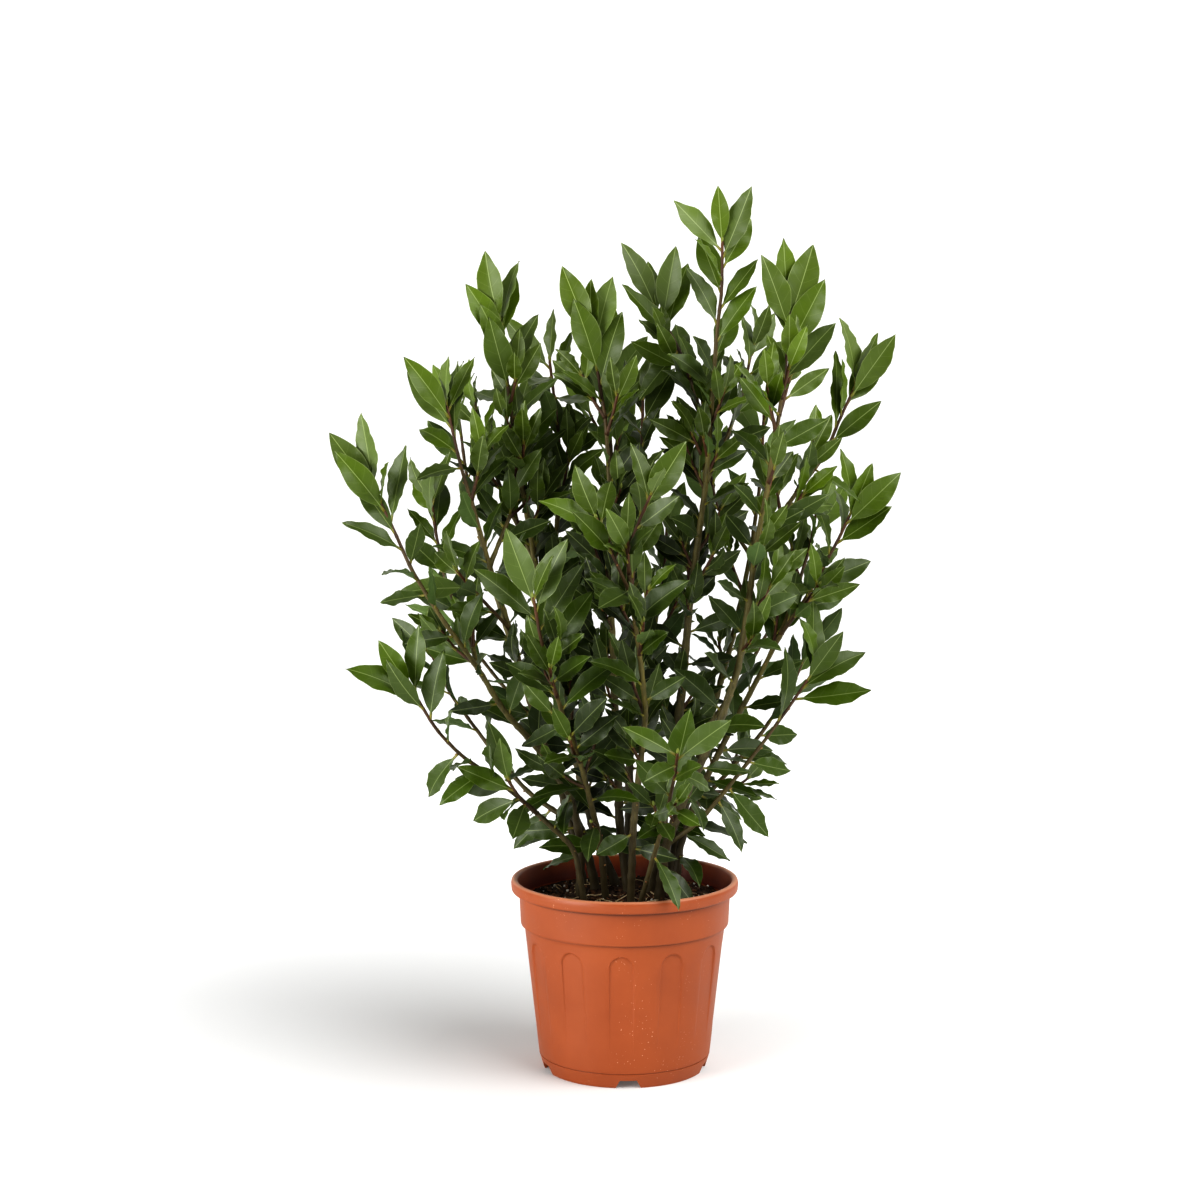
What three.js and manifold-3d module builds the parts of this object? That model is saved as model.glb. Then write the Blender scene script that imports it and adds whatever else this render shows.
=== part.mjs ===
// Bay laurel (Laurus nobilis) in a round nursery pot.
// Millimetres, +Z up. The origin is on the floor, on the pot's axis; the plant's best side faces -Y.
// Several woody stems stand in plain holes in the soil. Each stem is one node: its wood, its side
// shoots and its leaves are fused, and it keeps clear of every other stem, the soil and the pot.

import * as THREE from 'three';
import { mergeVertices } from 'three/addons/utils/BufferGeometryUtils.js';
import Module from 'manifold-3d';

const wasm = await Module();
wasm.setup();

// ---------------------------------------------------------------- driving dimensions

const potHeight = 201;
const rimRadius = 119.6;          // over the lip; a 24 cm container
const lipWidth = 8;
const lipRounding = 2.6;
const lipHeight = 12;             // from its lower corner to the rim
const collarTopRadius = 110.6;
const collarBaseRadius = 109.4;
const wallTopRadius = 105.2;
const wallBaseRadius = 89.7;
const footRadius = 85.5;
const lipUnderside = 187;         // height where the collar meets the lip outside
const lipInside = 181;            // and where the inner wall turns out to it
const collarStepTop = 154;
const collarStepBase = 148;
const footBandHeight = 12;
const wallThickness = 2.8;
const footRingWidth = 3;
const footRingTaper = 1;          // the ring is this much wider where it meets the floor
const floorUnderside = 10;
const floorTop = 13;
const potSegments = 40;

const fluteCount = 12;
const firstFlute = -2.4;          // degrees from the front
const fluteWidth = 26;
const fluteTop = 141.5;
const fluteFade = 34;             // height where a flute runs out into the wall
const fluteTopDepth = 1.8;
const fluteFadeDepth = 0.1;
const fluteArcSides = 4;

const notchCount = 5;
const notchTopWidth = 17.4;
const notchBaseWidth = 26;
const notchHeight = 8.6;
const firstNotch = 2;             // degrees from the front

const drainCount = 5;
const drainRadius = 6;
const drainSides = 8;
const drainCircle = 58;

const soilLevel = 177;            // mean height of the soil, 24 mm below the rim
const soilLump = 2.2;             // about how far it heaves up and down
const soilGap = 0.5;              // between the soil and the pot's floor and wall
const soilEdgeGap = 1.4;          // and at its top edge, where it has dried away from the wall
const soilSegments = potSegments / 2;
const soilRings = [76, 38];       // radii of the rings that carry its unevenness

const stemFoot = 140;             // height where a stem's foot stands, inside the soil
const stemCollar = 181;           // height up to which it rises straight from its foot
const holeClearance = 0.4;
const stemSides = 5;
const shootSides = 3;
const tipRadius = 1.3;
const taper = 0.0062;             // radius gained for each millimetre below a shoot's tip
const stoutest = 6.2;
const budLength = 5;

const youngLeaf = 54;             // length of the leaves next to a shoot's bud
const grownLeaf = 66;             // length of a grown leaf
const grownOrder = 4;             // how many leaves below the bud the first grown one sits
const leafWidthShare = 0.34;
const longestLeaf = 80;
const leastDepth = 4;             // how far a leaf that is aimed sideways still points forwards or back
const rootDepth = 0.8;            // how far past a stem's axis a leaf is rooted, per radius of the stem
const foldShare = 0.2;            // how far a blade's halves fold up, per half width
const waveShare = 0.12;           // how far its edge waves, per half width
const firstNode = 6;              // distance of the topmost leaf from the shoot's tip
const closestNodes = 6;
const widestNodes = 17;
const nodeGrowth = 2;
const leafTurn = 144;             // degrees from one leaf to the next, two turns in five leaves
const budAngle = 18;              // degrees between a shoot and the leaf beside its bud
const spreadAngle = 24;           // degrees that leaves spread further
const spreadReach = 45;           // while this far from the tip they have most of that
const oldAngle = 26;              // degrees more for the oldest leaves
const oldReach = 400;             // which sit this far from the tip
const droopHeight = 370;          // leaves seated below this height droop,
const droopFull = 220;            // and fully so below this one
const faceUp = 0.3;               // how much a blade's face turns up, against along the shoot
const faceLight = 1.3;            // and how much towards the light
const lightBehind = 130;          // the light seems to come from a line this far behind the axis,
const lightSide = 0.25;           // and sideways as this share of how far the leaf sits to that side
const rollSpread = 36;            // degrees that a blade rolls either way about its length,
const tipRoll = 18;               // and one of a shoot's topmost leaves, which have a spread
const turnSpread = 14;            // degrees either way that chance turns a leaf round its shoot,
const offSpread = 9;              // and away from it
const sizeRange = [0.86, 1.12];   // the least and the most that chance makes of a leaf's length,
const widthRange = [0.88, 1.12];  // of its width,
const bowRange = [-0.02, 0.11];   // of how far it arches, per length,
const droopRange = [0.3, 1.1];    // and of its droop
const turnsTried = [0, 22, -22, 45, -45, 70, -70, 100, -100, 140, -140, 180];
const sizesTried = [1, 0.82];     // a leaf is turned so many degrees, and shortened, to find room
const lowestLeaf = 235;           // no leaf grows from wood below this height
const forkClear = 24;             // nor nearer than this to the fork that its shoot grows from
const fullNodes = 5;              // each node near a tip has its leaf here, and below them
const sparseNodes = 4;            // each fourth one,
const lowNodes = 3;               // or each third one on wood that is seated
const lowWood = 385;              // lower than this

const gapToOthers = 0.8;          // a leaf keeps this clear of other stems, the pot and the soil
const gapToOwn = 0.3;             // and its blade this clear of its own stem's wood and blades

// ---------------------------------------------------------------- the stems
// foot: where the stem stands in the soil, x and y.
// route: the points its axis passes above the soil.
// spread: where the tips of its topmost leaves show from the front, x and z, from the bud down.
// shoots: side shoots; each starts at the route point counted by fork.

const stems = [
  { // left, high and arching outwards
    foot: [-48, 12],
    route: [[-45, 5, 230], [-55, -10, 285], [-80, -24, 330], [-125, -50, 385], [-150, -60, 430],
      [-185, -70, 480], [-215, -75, 530], [-235, -70, 575], [-255, -70, 615]],
    spread: [[-265, 690], [-305, 680], [-235, 640], [-303, 660], [-215, 680], [-272, 620],
      [-282, 580], [-210, 575], [-240, 530], [-250, 495]],
    shoots: [
      { fork: 4, route: [[-160, -15, 455], [-188, 25, 510], [-200, 50, 560], [-206, 62, 600]],
        spread: [] },
    ],
  },
  { // left, low
    foot: [-42, -34],
    route: [[-52, -42, 240], [-90, -60, 280], [-125, -80, 315], [-165, -95, 345], [-190, -110, 375],
      [-215, -115, 420]],
    spread: [[-245, 465], [-205, 480], [-287, 440], [-235, 450], [-180, 455], [-160, 430],
      [-170, 400], [-200, 298], [-170, 340]],
    shoots: [
      { fork: 1, route: [[-105, -88, 298], [-120, -102, 325]],
        spread: [[-125, 368], [-138, 380], [-170, 335], [-155, 272]] },
    ],
  },
  { // left of the middle, upright
    foot: [-30, 34],
    route: [[-45, 25, 245], [-70, 15, 295], [-100, 0, 390], [-120, -10, 465], [-140, -10, 530],
      [-155, -10, 585], [-170, -10, 635], [-185, 0, 700]],
    spread: [[-180, 745], [-155, 745], [-235, 755], [-225, 730], [-180, 757], [-215, 670],
      [-212, 620], [-285, 628], [-112, 645]],
    shoots: [
      { fork: 3, route: [[-138, -35, 488], [-160, -58, 515], [-172, -68, 532]],
        spread: [[-178, 572], [-195, 545], [-145, 562], [-232, 505]] },
      { fork: 4, route: [[-118, 30, 585], [-108, 60, 640], [-112, 75, 690]],
        spread: [] },
    ],
  },
  { // front, left of the middle, leaning towards the front
    foot: [-20, -12],
    route: [[-25, -30, 240], [-35, -60, 290], [-45, -85, 335], [-60, -110, 380], [-72, -132, 422],
      [-83, -158, 468], [-90, -185, 515]],
    spread: [[-70, 555], [-120, 590], [-65, 585], [-155, 545], [-35, 555], [-80, 505],
      [-30, 520], [-100, 470], [-35, 455], [-120, 440], [-5, 445], [-105, 352]],
    shoots: [],
  },
  { // left of the middle, tall
    foot: [-8, 56],
    route: [[-25, 60, 215], [-42, 60, 275], [-62, 57, 365], [-80, 55, 465], [-95, 50, 530],
      [-110, 43, 620], [-120, 35, 695], [-130, 30, 785]],
    spread: [[-145, 855], [-110, 845], [-105, 830], [-165, 822], [-155, 800], [-90, 790],
      [-175, 828], [-160, 710], [-80, 720]],
    shoots: [
      { fork: 3, route: [[-75, 80, 530], [-70, 90, 595], [-70, 90, 660], [-80, 85, 745]],
        spread: [[-75, 797], [-130, 790], [-100, 715], [-55, 775], [-35, 700]] },
      { fork: 4, route: [[-125, 75, 590], [-150, 100, 650], [-162, 112, 700]],
        spread: [] },
    ],
  },
  { // middle
    foot: [4, 22],
    route: [[-5, 18, 250], [-8, 12, 330], [-12, 6, 420], [-15, 0, 510], [-15, 0, 590], [-20, 0, 680],
      [-35, 0, 770]],
    spread: [[-65, 838], [-35, 825], [-10, 835], [-10, 797], [-62, 822], [5, 818], [-65, 730],
      [15, 720]],
    shoots: [
      { fork: 3, route: [[5, 30, 570], [18, 55, 640], [20, 70, 705]],
        spread: [] },
    ],
  },
  { // front, middle, forking high
    foot: [6, -32],
    route: [[8, -60, 265], [16, -90, 350], [20, -105, 390], [14, -122, 445], [5, -138, 510],
      [0, -150, 555], [10, -155, 580], [25, -160, 615]],
    spread: [[35, 637], [3, 660], [57, 662], [10, 620], [50, 610], [-10, 600], [25, 580],
      [20, 530], [-27, 505]],
    shoots: [
      { fork: 4, route: [[-12, -158, 548], [-30, -170, 590]],
        spread: [[-50, 640], [-15, 622], [-85, 605], [-35, 615], [-60, 595]] },
    ],
  },
  { // the tallest, right of the middle, stout
    foot: [26, 26],
    route: [[45, 30, 275], [60, 35, 385], [70, 30, 500], [85, 25, 615], [90, 18, 690], [95, 15, 770],
      [100, 10, 815], [100, 10, 865]],
    spread: [[95, 920], [50, 905], [130, 920], [135, 888], [70, 862], [77, 872], [137, 845],
      [135, 815], [55, 700], [120, 722]],
    shoots: [
      { fork: 3, route: [[76, 42, 705], [55, 55, 760], [30, 65, 800]],
        spread: [[-5, 868], [25, 847], [55, 868], [67, 850], [-10, 815], [15, 700]] },
      { fork: 3, route: [[108, 50, 660], [128, 72, 715], [138, 84, 765]],
        spread: [] },
    ],
  },
  { // right, high, forking towards the right
    foot: [36, -12],
    route: [[42, -28, 240], [65, -50, 305], [92, -76, 368], [112, -92, 430], [120, -100, 485],
      [128, -101, 550], [140, -98, 615], [152, -92, 690], [160, -85, 750], [162, -80, 790]],
    spread: [[155, 860], [190, 870], [115, 862], [140, 842], [205, 837], [222, 820], [217, 790],
      [190, 735], [120, 720], [175, 660]],
    shoots: [
      { fork: 5, route: [[168, -48, 600], [205, -20, 645], [222, -10, 685], [240, 0, 720]],
        spread: [[220, 785], [260, 770], [280, 772], [275, 750], [220, 742], [215, 765],
          [262, 700], [190, 665], [215, 632]] },
      { fork: 0, route: [[75, -36, 265], [105, -32, 300], [138, -22, 340], [170, -12, 382],
        [200, -5, 425]],
        spread: [[180, 477], [197, 495], [222, 465], [265, 445], [265, 402], [240, 392],
          [165, 447], [175, 370], [205, 342], [175, 312], [182, 292], [150, 247], [120, 237]] },
    ],
  },
  { // right, arching outwards
    foot: [54, 10],
    route: [[58, 14, 230], [78, 20, 285], [115, 25, 360], [140, 30, 405], [165, 30, 455],
      [190, 30, 490], [225, 30, 555], [240, 30, 588]],
    spread: [[225, 650], [255, 637], [294, 630], [225, 605], [280, 590], [195, 600], [195, 552],
      [263, 530]],
    shoots: [
      { fork: 4, route: [[185, 5, 485], [200, -20, 512]],
        spread: [[190, 555], [160, 492], [217, 512], [245, 510], [152, 517]] },
      { fork: 4, route: [[185, 65, 500], [202, 95, 545], [210, 110, 585]],
        spread: [] },
    ],
  },
  { // front, low, pointing at the viewer
    foot: [14, -60],
    route: [[28, -88, 240], [40, -137, 295], [46, -186, 340], [48, -208, 368]],
    spread: [[-5, 392], [100, 397], [15, 345], [82, 320], [70, 358], [62, 405]],
    shoots: [],
  },
  { // back, left
    foot: [-44, 58],
    route: [[-58, 76, 245], [-88, 108, 340], [-125, 138, 435], [-155, 158, 530], [-175, 170, 620],
      [-185, 175, 700]],
    spread: [],
    shoots: [
      { fork: 0, route: [[-105, 88, 275], [-152, 100, 330], [-190, 110, 380], [-214, 116, 430]],
        spread: [] },
      { fork: 1, route: [[-135, 150, 385], [-175, 183, 430], [-198, 196, 480]], spread: [] },
      { fork: 3, route: [[-150, 186, 580], [-145, 207, 640]], spread: [] },
    ],
  },
  { // back, middle
    foot: [4, 80],
    route: [[6, 98, 260], [8, 126, 370], [0, 145, 470], [-10, 152, 570], [-15, 152, 670],
      [-15, 150, 755]],
    spread: [],
    shoots: [
      { fork: 0, route: [[-22, 138, 290], [-50, 171, 335], [-68, 196, 395]], spread: [] },
      { fork: 1, route: [[32, 165, 430], [46, 187, 500], [50, 199, 570]], spread: [] },
      { fork: 2, route: [[-40, 182, 530], [-62, 198, 590]], spread: [] },
    ],
  },
  { // back, right
    foot: [46, 54],
    route: [[62, 74, 245], [92, 102, 345], [120, 125, 440], [140, 140, 530], [152, 150, 620],
      [155, 155, 695]],
    spread: [],
    shoots: [
      { fork: 0, route: [[105, 98, 285], [152, 120, 335], [188, 140, 385], [208, 150, 435]],
        spread: [] },
      { fork: 1, route: [[132, 148, 392], [168, 182, 450], [184, 198, 510]], spread: [] },
      { fork: 3, route: [[105, 176, 580], [92, 192, 645]], spread: [] },
    ],
  },
];

// ---------------------------------------------------------------- small helpers

const degrees = Math.PI / 180;
const weldDistance = 1e-4;
const vertical = new THREE.Vector3(0, 0, 1);
const vector = (xyz) => new THREE.Vector3(...xyz);
const mix = (from, to, share) => from + (to - from) * share;
const clamp = (value, low, high) => Math.min(Math.max(value, low), high);

// Mulberry32: the same sequence of numbers from 0 to 1 for the same seed.
function makeRandom(seed) {
  let state = seed >>> 0;
  return () => {
    state = (state + 0x6d2b79f5) >>> 0;
    let mixed = Math.imul(state ^ (state >>> 15), state | 1);
    mixed ^= mixed + Math.imul(mixed ^ (mixed >>> 7), mixed | 61);
    return ((mixed ^ (mixed >>> 14)) >>> 0) / 4294967296;
  };
}

// A closed geometry becomes a solid that can be joined and cut.
function toSolid(geometry) {
  const bare = new THREE.BufferGeometry();
  bare.setAttribute('position', geometry.getAttribute('position'));
  bare.setIndex(geometry.index);
  const merged = mergeVertices(bare, weldDistance);
  const corners = merged.index.array;
  const triangles = [];
  for (let first = 0; first < corners.length; first += 3) {
    const [a, b, c] = [corners[first], corners[first + 1], corners[first + 2]];
    if (a !== b && b !== c && c !== a) triangles.push(a, b, c);
  }
  return new wasm.Manifold(new wasm.Mesh({
    numProp: 3,
    vertProperties: new Float32Array(merged.getAttribute('position').array),
    triVerts: new Uint32Array(triangles),
  }));
}

function toGeometry(solid) {
  const mesh = solid.getMesh();
  const geometry = new THREE.BufferGeometry();
  geometry.setAttribute('position', new THREE.BufferAttribute(mesh.vertProperties, 3));
  geometry.setIndex(new THREE.BufferAttribute(mesh.triVerts, 1));
  geometry.computeVertexNormals();
  return geometry;
}

// A closed skin over rings of equally many points, each ring counter-clockwise about the way ahead.
// It ends in one point, and starts with a flat cap or in a point too. The quads' diagonals alternate
// round a ring, so that the two faces of a thin blade are split alike.
function loft(rings, tip, root = null) {
  const count = rings[0].length;
  const end = rings.length * count;
  const positions = [...rings.flat(), tip, ...(root ? [root] : [])].flatMap((point) => point.toArray());
  const corners = [];
  if (root) for (let j = 0; j < count; j++) corners.push(end + 1, (j + 1) % count, j);
  else for (let j = 1; j < count - 1; j++) corners.push(0, j + 1, j);
  for (let i = 0; i < rings.length - 1; i++) {
    for (let j = 0; j < count; j++) {
      const a = i * count + j;
      const b = i * count + (j + 1) % count;
      const [c, d] = [b + count, a + count];
      if (j % 2 === 0) corners.push(a, b, c, a, c, d);
      else corners.push(a, b, d, b, c, d);
    }
  }
  const last = end - count;
  for (let j = 0; j < count; j++) corners.push(last + j, last + (j + 1) % count, end);
  const geometry = new THREE.BufferGeometry();
  geometry.setAttribute('position', new THREE.BufferAttribute(new Float32Array(positions), 3));
  geometry.setIndex(corners);
  return geometry;
}

// The outer skin of a fused solid: a hollow that fusing sealed is filled and a loose scrap dropped.
function outerSkin(solid) {
  const skins = solid.decompose();
  return skins.reduce((largest, skin) => (skin.volume() > largest.volume() ? skin : largest));
}

function latheSolid(profile, segments, shape = () => {}) {
  const geometry = new THREE.LatheGeometry(profile.map(([r, z]) => new THREE.Vector2(r, z)), segments);
  geometry.rotateX(Math.PI / 2);
  shape(geometry.getAttribute('position'));
  return toSolid(geometry);
}

// ---------------------------------------------------------------- pot

// Half the pot's section, from the middle of the floor's underside round the lip and back inside.
function potBlank() {
  const innerLip = rimRadius - lipWidth;
  return latheSolid([
    [0, floorUnderside],
    [footRadius - footRingWidth - footRingTaper, floorUnderside],
    [footRadius - footRingWidth, 0],
    [footRadius, 0],
    [wallBaseRadius, footBandHeight],
    [wallTopRadius, collarStepBase],
    [collarBaseRadius, collarStepTop],
    [collarTopRadius, lipUnderside],
    [rimRadius - 0.6, potHeight - lipHeight],
    [rimRadius, potHeight - 1.5 * lipRounding],
    [rimRadius - lipRounding, potHeight],
    [innerLip + 0.8, potHeight - 0.8 * lipRounding],
    [innerLip - 0.4, potHeight - 3 * lipRounding],
    [collarTopRadius - wallThickness, lipInside],
    [wallTopRadius - wallThickness, collarStepBase],
    [wallBaseRadius - wallThickness, floorTop],
    [0, floorTop],
  ], potSegments);
}

// An arch with a round top, standing off the wall and leaning with it, so that its flat inner face
// cuts a shallow flute that fades out downwards.
function fluteCutter(angle) {
  const depth = 12;
  const springing = fluteTop - fluteFade - fluteWidth / 2;
  const arch = new THREE.Shape();
  arch.moveTo(-fluteWidth / 2, 0);
  arch.lineTo(fluteWidth / 2, 0);
  arch.lineTo(fluteWidth / 2, springing);
  arch.absarc(0, springing, fluteWidth / 2, 0, Math.PI, false);
  const curveSegments = fluteArcSides / 2;
  const cutter = new THREE.ExtrudeGeometry(arch, { depth, bevelEnabled: false, curveSegments });
  const wallAt = (z) => mix(wallBaseRadius, wallTopRadius,
    (z - footBandHeight) / (collarStepBase - footBandHeight));
  const low = wallAt(fluteFade) - fluteFadeDepth;
  const high = wallAt(fluteTop) - fluteTopDepth;
  cutter.rotateX(Math.PI / 2);                                  // the arch stands up, facing -Y
  cutter.rotateX(Math.atan2(high - low, fluteTop - fluteFade));  // and leans out with the wall
  cutter.translate(0, -low, fluteFade);
  cutter.rotateZ(angle);
  return toSolid(cutter);
}

// A notch through the foot ring, wider at the floor.
function notchCutter(angle) {
  const below = 1;
  const depth = 24;
  const spread = (notchBaseWidth - notchTopWidth) / notchHeight * below;
  const outline = new THREE.Shape();
  outline.moveTo(-(notchBaseWidth + spread) / 2, -below);
  outline.lineTo((notchBaseWidth + spread) / 2, -below);
  outline.lineTo(notchTopWidth / 2, notchHeight);
  outline.lineTo(-notchTopWidth / 2, notchHeight);
  outline.closePath();
  const cutter = new THREE.ExtrudeGeometry(outline, { depth, bevelEnabled: false });
  cutter.rotateX(Math.PI / 2);
  cutter.translate(0, depth / 2 - footRadius, 0);
  cutter.rotateZ(angle);
  return toSolid(cutter);
}

function drainCutter(angle) {
  const height = 10;
  const cutter = new THREE.CylinderGeometry(drainRadius, drainRadius, height, drainSides);
  cutter.rotateX(Math.PI / 2);
  cutter.translate(0, -drainCircle, (floorUnderside + floorTop) / 2);
  cutter.rotateZ(angle);
  return toSolid(cutter);
}

function makePot() {
  let pot = potBlank();
  const cutAround = (count, cutter, start) => {
    for (let i = 0; i < count; i++) pot = pot.subtract(cutter(start + i * 2 * Math.PI / count));
  };
  cutAround(fluteCount, fluteCutter, firstFlute * degrees);
  cutAround(notchCount, notchCutter, firstNotch * degrees);
  cutAround(drainCount, drainCutter, Math.PI / drainCount);
  return pot;
}

// ---------------------------------------------------------------- soil

const soilHeight = (x, y) => soilLevel
  + soilLump * 0.6 * Math.sin(0.11 * x + 1.3) * Math.cos(0.09 * y - 0.4)
  + soilLump * 0.5 * Math.sin(0.19 * x - 0.23 * y + 2.1);

function makeSoil(woods) {
  const profile = [
    [0, floorTop + soilGap],
    [wallBaseRadius - wallThickness - soilGap, floorTop + soilGap],
    [wallTopRadius - wallThickness - soilGap, collarStepBase],
    [collarTopRadius - wallThickness - soilEdgeGap, soilLevel],
    ...soilRings.map((radius) => [radius, soilLevel]),
    [0, soilLevel],
  ];
  let soil = latheSolid(profile, soilSegments, (position) => {
    for (let i = 0; i < position.count; i++) {
      if (position.getZ(i) < soilLevel - 0.01) continue;
      position.setZ(i, soilHeight(position.getX(i), position.getY(i)));
    }
  });
  for (const wood of woods) soil = soil.subtract(wood.hole);
  return soil;
}

// ---------------------------------------------------------------- wood

// A shoot's axis: straight runs between its points, measured from the tip down.
function makeAxis(points) {
  const lengths = [0];
  for (let i = points.length - 1; i > 0; i--) {
    lengths.push(lengths.at(-1) + points[i].distanceTo(points[i - 1]));
  }
  const fromTip = points.slice().reverse();
  const at = (distance) => {
    let i = 1;
    while (i < lengths.length - 1 && lengths[i] < distance) i++;
    const share = (distance - lengths[i - 1]) / (lengths[i] - lengths[i - 1]);
    return {
      point: fromTip[i - 1].clone().lerp(fromTip[i], share),
      tangent: fromTip[i - 1].clone().sub(fromTip[i]).normalize(),
      radius: woodRadius(distance),
    };
  };
  return { points, length: lengths.at(-1), lengths, at };
}

const woodRadius = (fromTip) => Math.min(tipRadius + taper * fromTip, stoutest);

// Rings square to the axis at each of its points, and one more just below the bud.
function woodGeometry(axis, sides, extra = 0) {
  const below = axis.at(budLength).point;
  const points = [...axis.points.slice(0, -1), below];
  const tip = axis.points.at(-1);
  const rings = [];
  let across = new THREE.Vector3(1, 0, 0);
  points.forEach((point, i) => {
    const ahead = (points[i + 1] ?? tip).clone().sub(point).normalize();
    const behind = i > 0 ? point.clone().sub(points[i - 1]).normalize() : ahead;
    const tangent = ahead.add(behind).normalize();
    across = across.clone().addScaledVector(tangent, -across.dot(tangent)).normalize();
    const up = tangent.clone().cross(across);
    const fromTip = i === points.length - 1 ? budLength : axis.lengths[points.length - i - 1];
    const radius = woodRadius(fromTip) + extra;
    const ring = [];
    for (let j = 0; j < sides; j++) {
      const turn = j * 2 * Math.PI / sides;
      ring.push(point.clone().addScaledVector(across, radius * Math.cos(turn))
        .addScaledVector(up, radius * Math.sin(turn)));
    }
    rings.push(ring);
  });
  return loft(rings, tip);
}

// A stem's wood with its side shoots, the hole that it stands in, and its shoots' axes.
function makeWood({ foot, route, spread, shoots }) {
  const [x, y] = foot;
  const low = [vector([x, y, stemFoot]), vector([x, y, stemCollar])];
  const main = makeAxis([...low, ...route.map(vector)]);
  const axes = [{ axis: main, spread, start: 0 }];
  let solid = toSolid(woodGeometry(main, stemSides));
  for (const shoot of shoots) {
    const axis = makeAxis([vector(route[shoot.fork]), ...shoot.route.map(vector)]);
    axes.push({ axis, spread: shoot.spread, start: forkClear });
    solid = solid.add(toSolid(woodGeometry(axis, shootSides)));
  }
  const socket = makeAxis([vector([x, y, stemFoot - holeClearance]), ...main.points.slice(1)]);
  const hole = toSolid(woodGeometry(socket, stemSides, holeClearance));
  return { solid, hole, axes, box: solid.boundingBox() };
}

// ---------------------------------------------------------------- leaves

// Each station of a blade: share of its length, share of its half width, way its edges wave, and
// thickness at the midrib, from where it thins to nothing at the edge.
const stations = [
  [0.34, 1.0, 1, 2.2],
  [0.70, 0.86, -1, 1.4],
];

// The rings of a blade: left edge, midrib above, right edge, midrib below.
function bladeRings({ base, tip, normal, width, bow, wave }) {
  const along = tip.clone().sub(base);
  const length = along.length();
  const side = along.clone().cross(normal).normalize();
  return stations.map(([share, widthShare, way, thickness]) => {
    const half = width / 2 * widthShare;
    const middle = base.clone().addScaledVector(along, share)
      .addScaledVector(normal, bow * length * 4 * share * (1 - share));
    const lift = (turned) => half * (foldShare + turned * way * wave);
    return [
      middle.clone().addScaledVector(side, -half).addScaledVector(normal, lift(1)),
      middle.clone().addScaledVector(normal, thickness / 2),
      middle.clone().addScaledVector(side, half).addScaledVector(normal, lift(-1)),
      middle.clone().addScaledVector(normal, -thickness / 2),
    ];
  });
}

function leafSolids(leaf) {
  const rings = bladeRings(leaf);
  const along = leaf.tip.clone().sub(leaf.base).normalize();
  const root = leaf.base.clone().addScaledVector(along, -rootDepth * leaf.rooted);
  return { whole: toSolid(loft(rings, leaf.tip, root)), blade: toSolid(loft(rings, leaf.tip)) };
}

// How a leaf sits by rule: the turn round the shoot, the angle off it and the length.
function ruledAim(node, seat, chance) {
  const { point, tangent } = seat;
  const across = new THREE.Vector3(1, 0, 0);
  across.addScaledVector(tangent, -across.dot(tangent)).normalize();
  const up = tangent.clone().cross(across);
  const turn = (node.phase + leafTurn * node.order + mix(-turnSpread, turnSpread, chance.turn)) * degrees;
  const off = (budAngle + spreadAngle * (1 - Math.exp(-node.fromTip / spreadReach))
    + oldAngle * clamp(node.fromTip / oldReach, 0, 1) + mix(-offSpread, offSpread, chance.off)) * degrees;
  const outwards = across.multiplyScalar(Math.cos(turn)).addScaledVector(up, Math.sin(turn));
  const aim = tangent.clone().multiplyScalar(Math.cos(off)).addScaledVector(outwards, Math.sin(off));
  const sink = clamp((droopHeight - point.z) / (droopHeight - droopFull), 0, 1);
  aim.z -= sink * mix(...droopRange, chance.droop);
  return aim.normalize();
}

// How a leaf sits when its tip is seen from the front at a known place: the leaf's own length
// gives how far it points forwards or back.
function spreadAim(node, seat, length, [x, z]) {
  const flat = new THREE.Vector3(x - seat.point.x, 0, z - seat.point.z);
  const seen = flat.length();
  const deep = Math.max(Math.sqrt(Math.max(length * length - seen * seen, 0)), leastDepth);
  flat.y = node.order % 2 === 0 ? -deep : deep;
  return { aim: flat.clone().normalize(), length: Math.min(Math.max(length, seen), longestLeaf) };
}

// Every way that one leaf may sit, the best first.
function leafChoices(node, seat, target, chance) {
  const grown = clamp(node.order / grownOrder, 0, 1);
  const size = mix(youngLeaf, grownLeaf, grown) * mix(...sizeRange, chance.size);
  let aim = ruledAim(node, seat, chance);
  let length = size;
  if (target) ({ aim, length } = spreadAim(node, seat, size, target));
  const choices = [];
  for (const scale of sizesTried) {
    for (const turn of turnsTried) {
      const turned = aim.clone().applyAxisAngle(seat.tangent, turn * degrees);
      choices.push(makeLeaf(seat, turned, length * scale, chance, target ? tipRoll : rollSpread));
    }
  }
  return choices;
}

// The blade's upper face looks along the shoot, up and towards the light, which comes from outside
// the crown and most of all from the front. Then it rolls up to so many degrees about the leaf.
function makeLeaf(seat, aim, length, chance, roll) {
  const light = new THREE.Vector3(seat.point.x * lightSide, seat.point.y - lightBehind, 0).normalize();
  const normal = seat.tangent.clone().addScaledVector(vertical, faceUp);
  normal.addScaledVector(light, faceLight);
  normal.addScaledVector(aim, -normal.dot(aim)).normalize();
  normal.applyAxisAngle(aim, mix(-roll, roll, chance.roll) * degrees);
  return {
    base: seat.point.clone(),
    tip: seat.point.clone().addScaledVector(aim, length),
    normal,
    width: length * leafWidthShare * mix(...widthRange, chance.width),
    bow: mix(...bowRange, chance.bow),
    wave: waveShare * (chance.wave < 0.5 ? -1 : 1),
    rooted: seat.radius,
  };
}

function boxesMeet(a, b, margin) {
  for (let i = 0; i < 3; i++) {
    if (a.min[i] - margin > b.max[i] || b.min[i] - margin > a.max[i]) return false;
  }
  return true;
}

const isClear = (solid, box, other, otherBox, gap) => !boxesMeet(box, otherBox, gap)
  || solid.minGap(other, gap * 2) >= gap;

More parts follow.
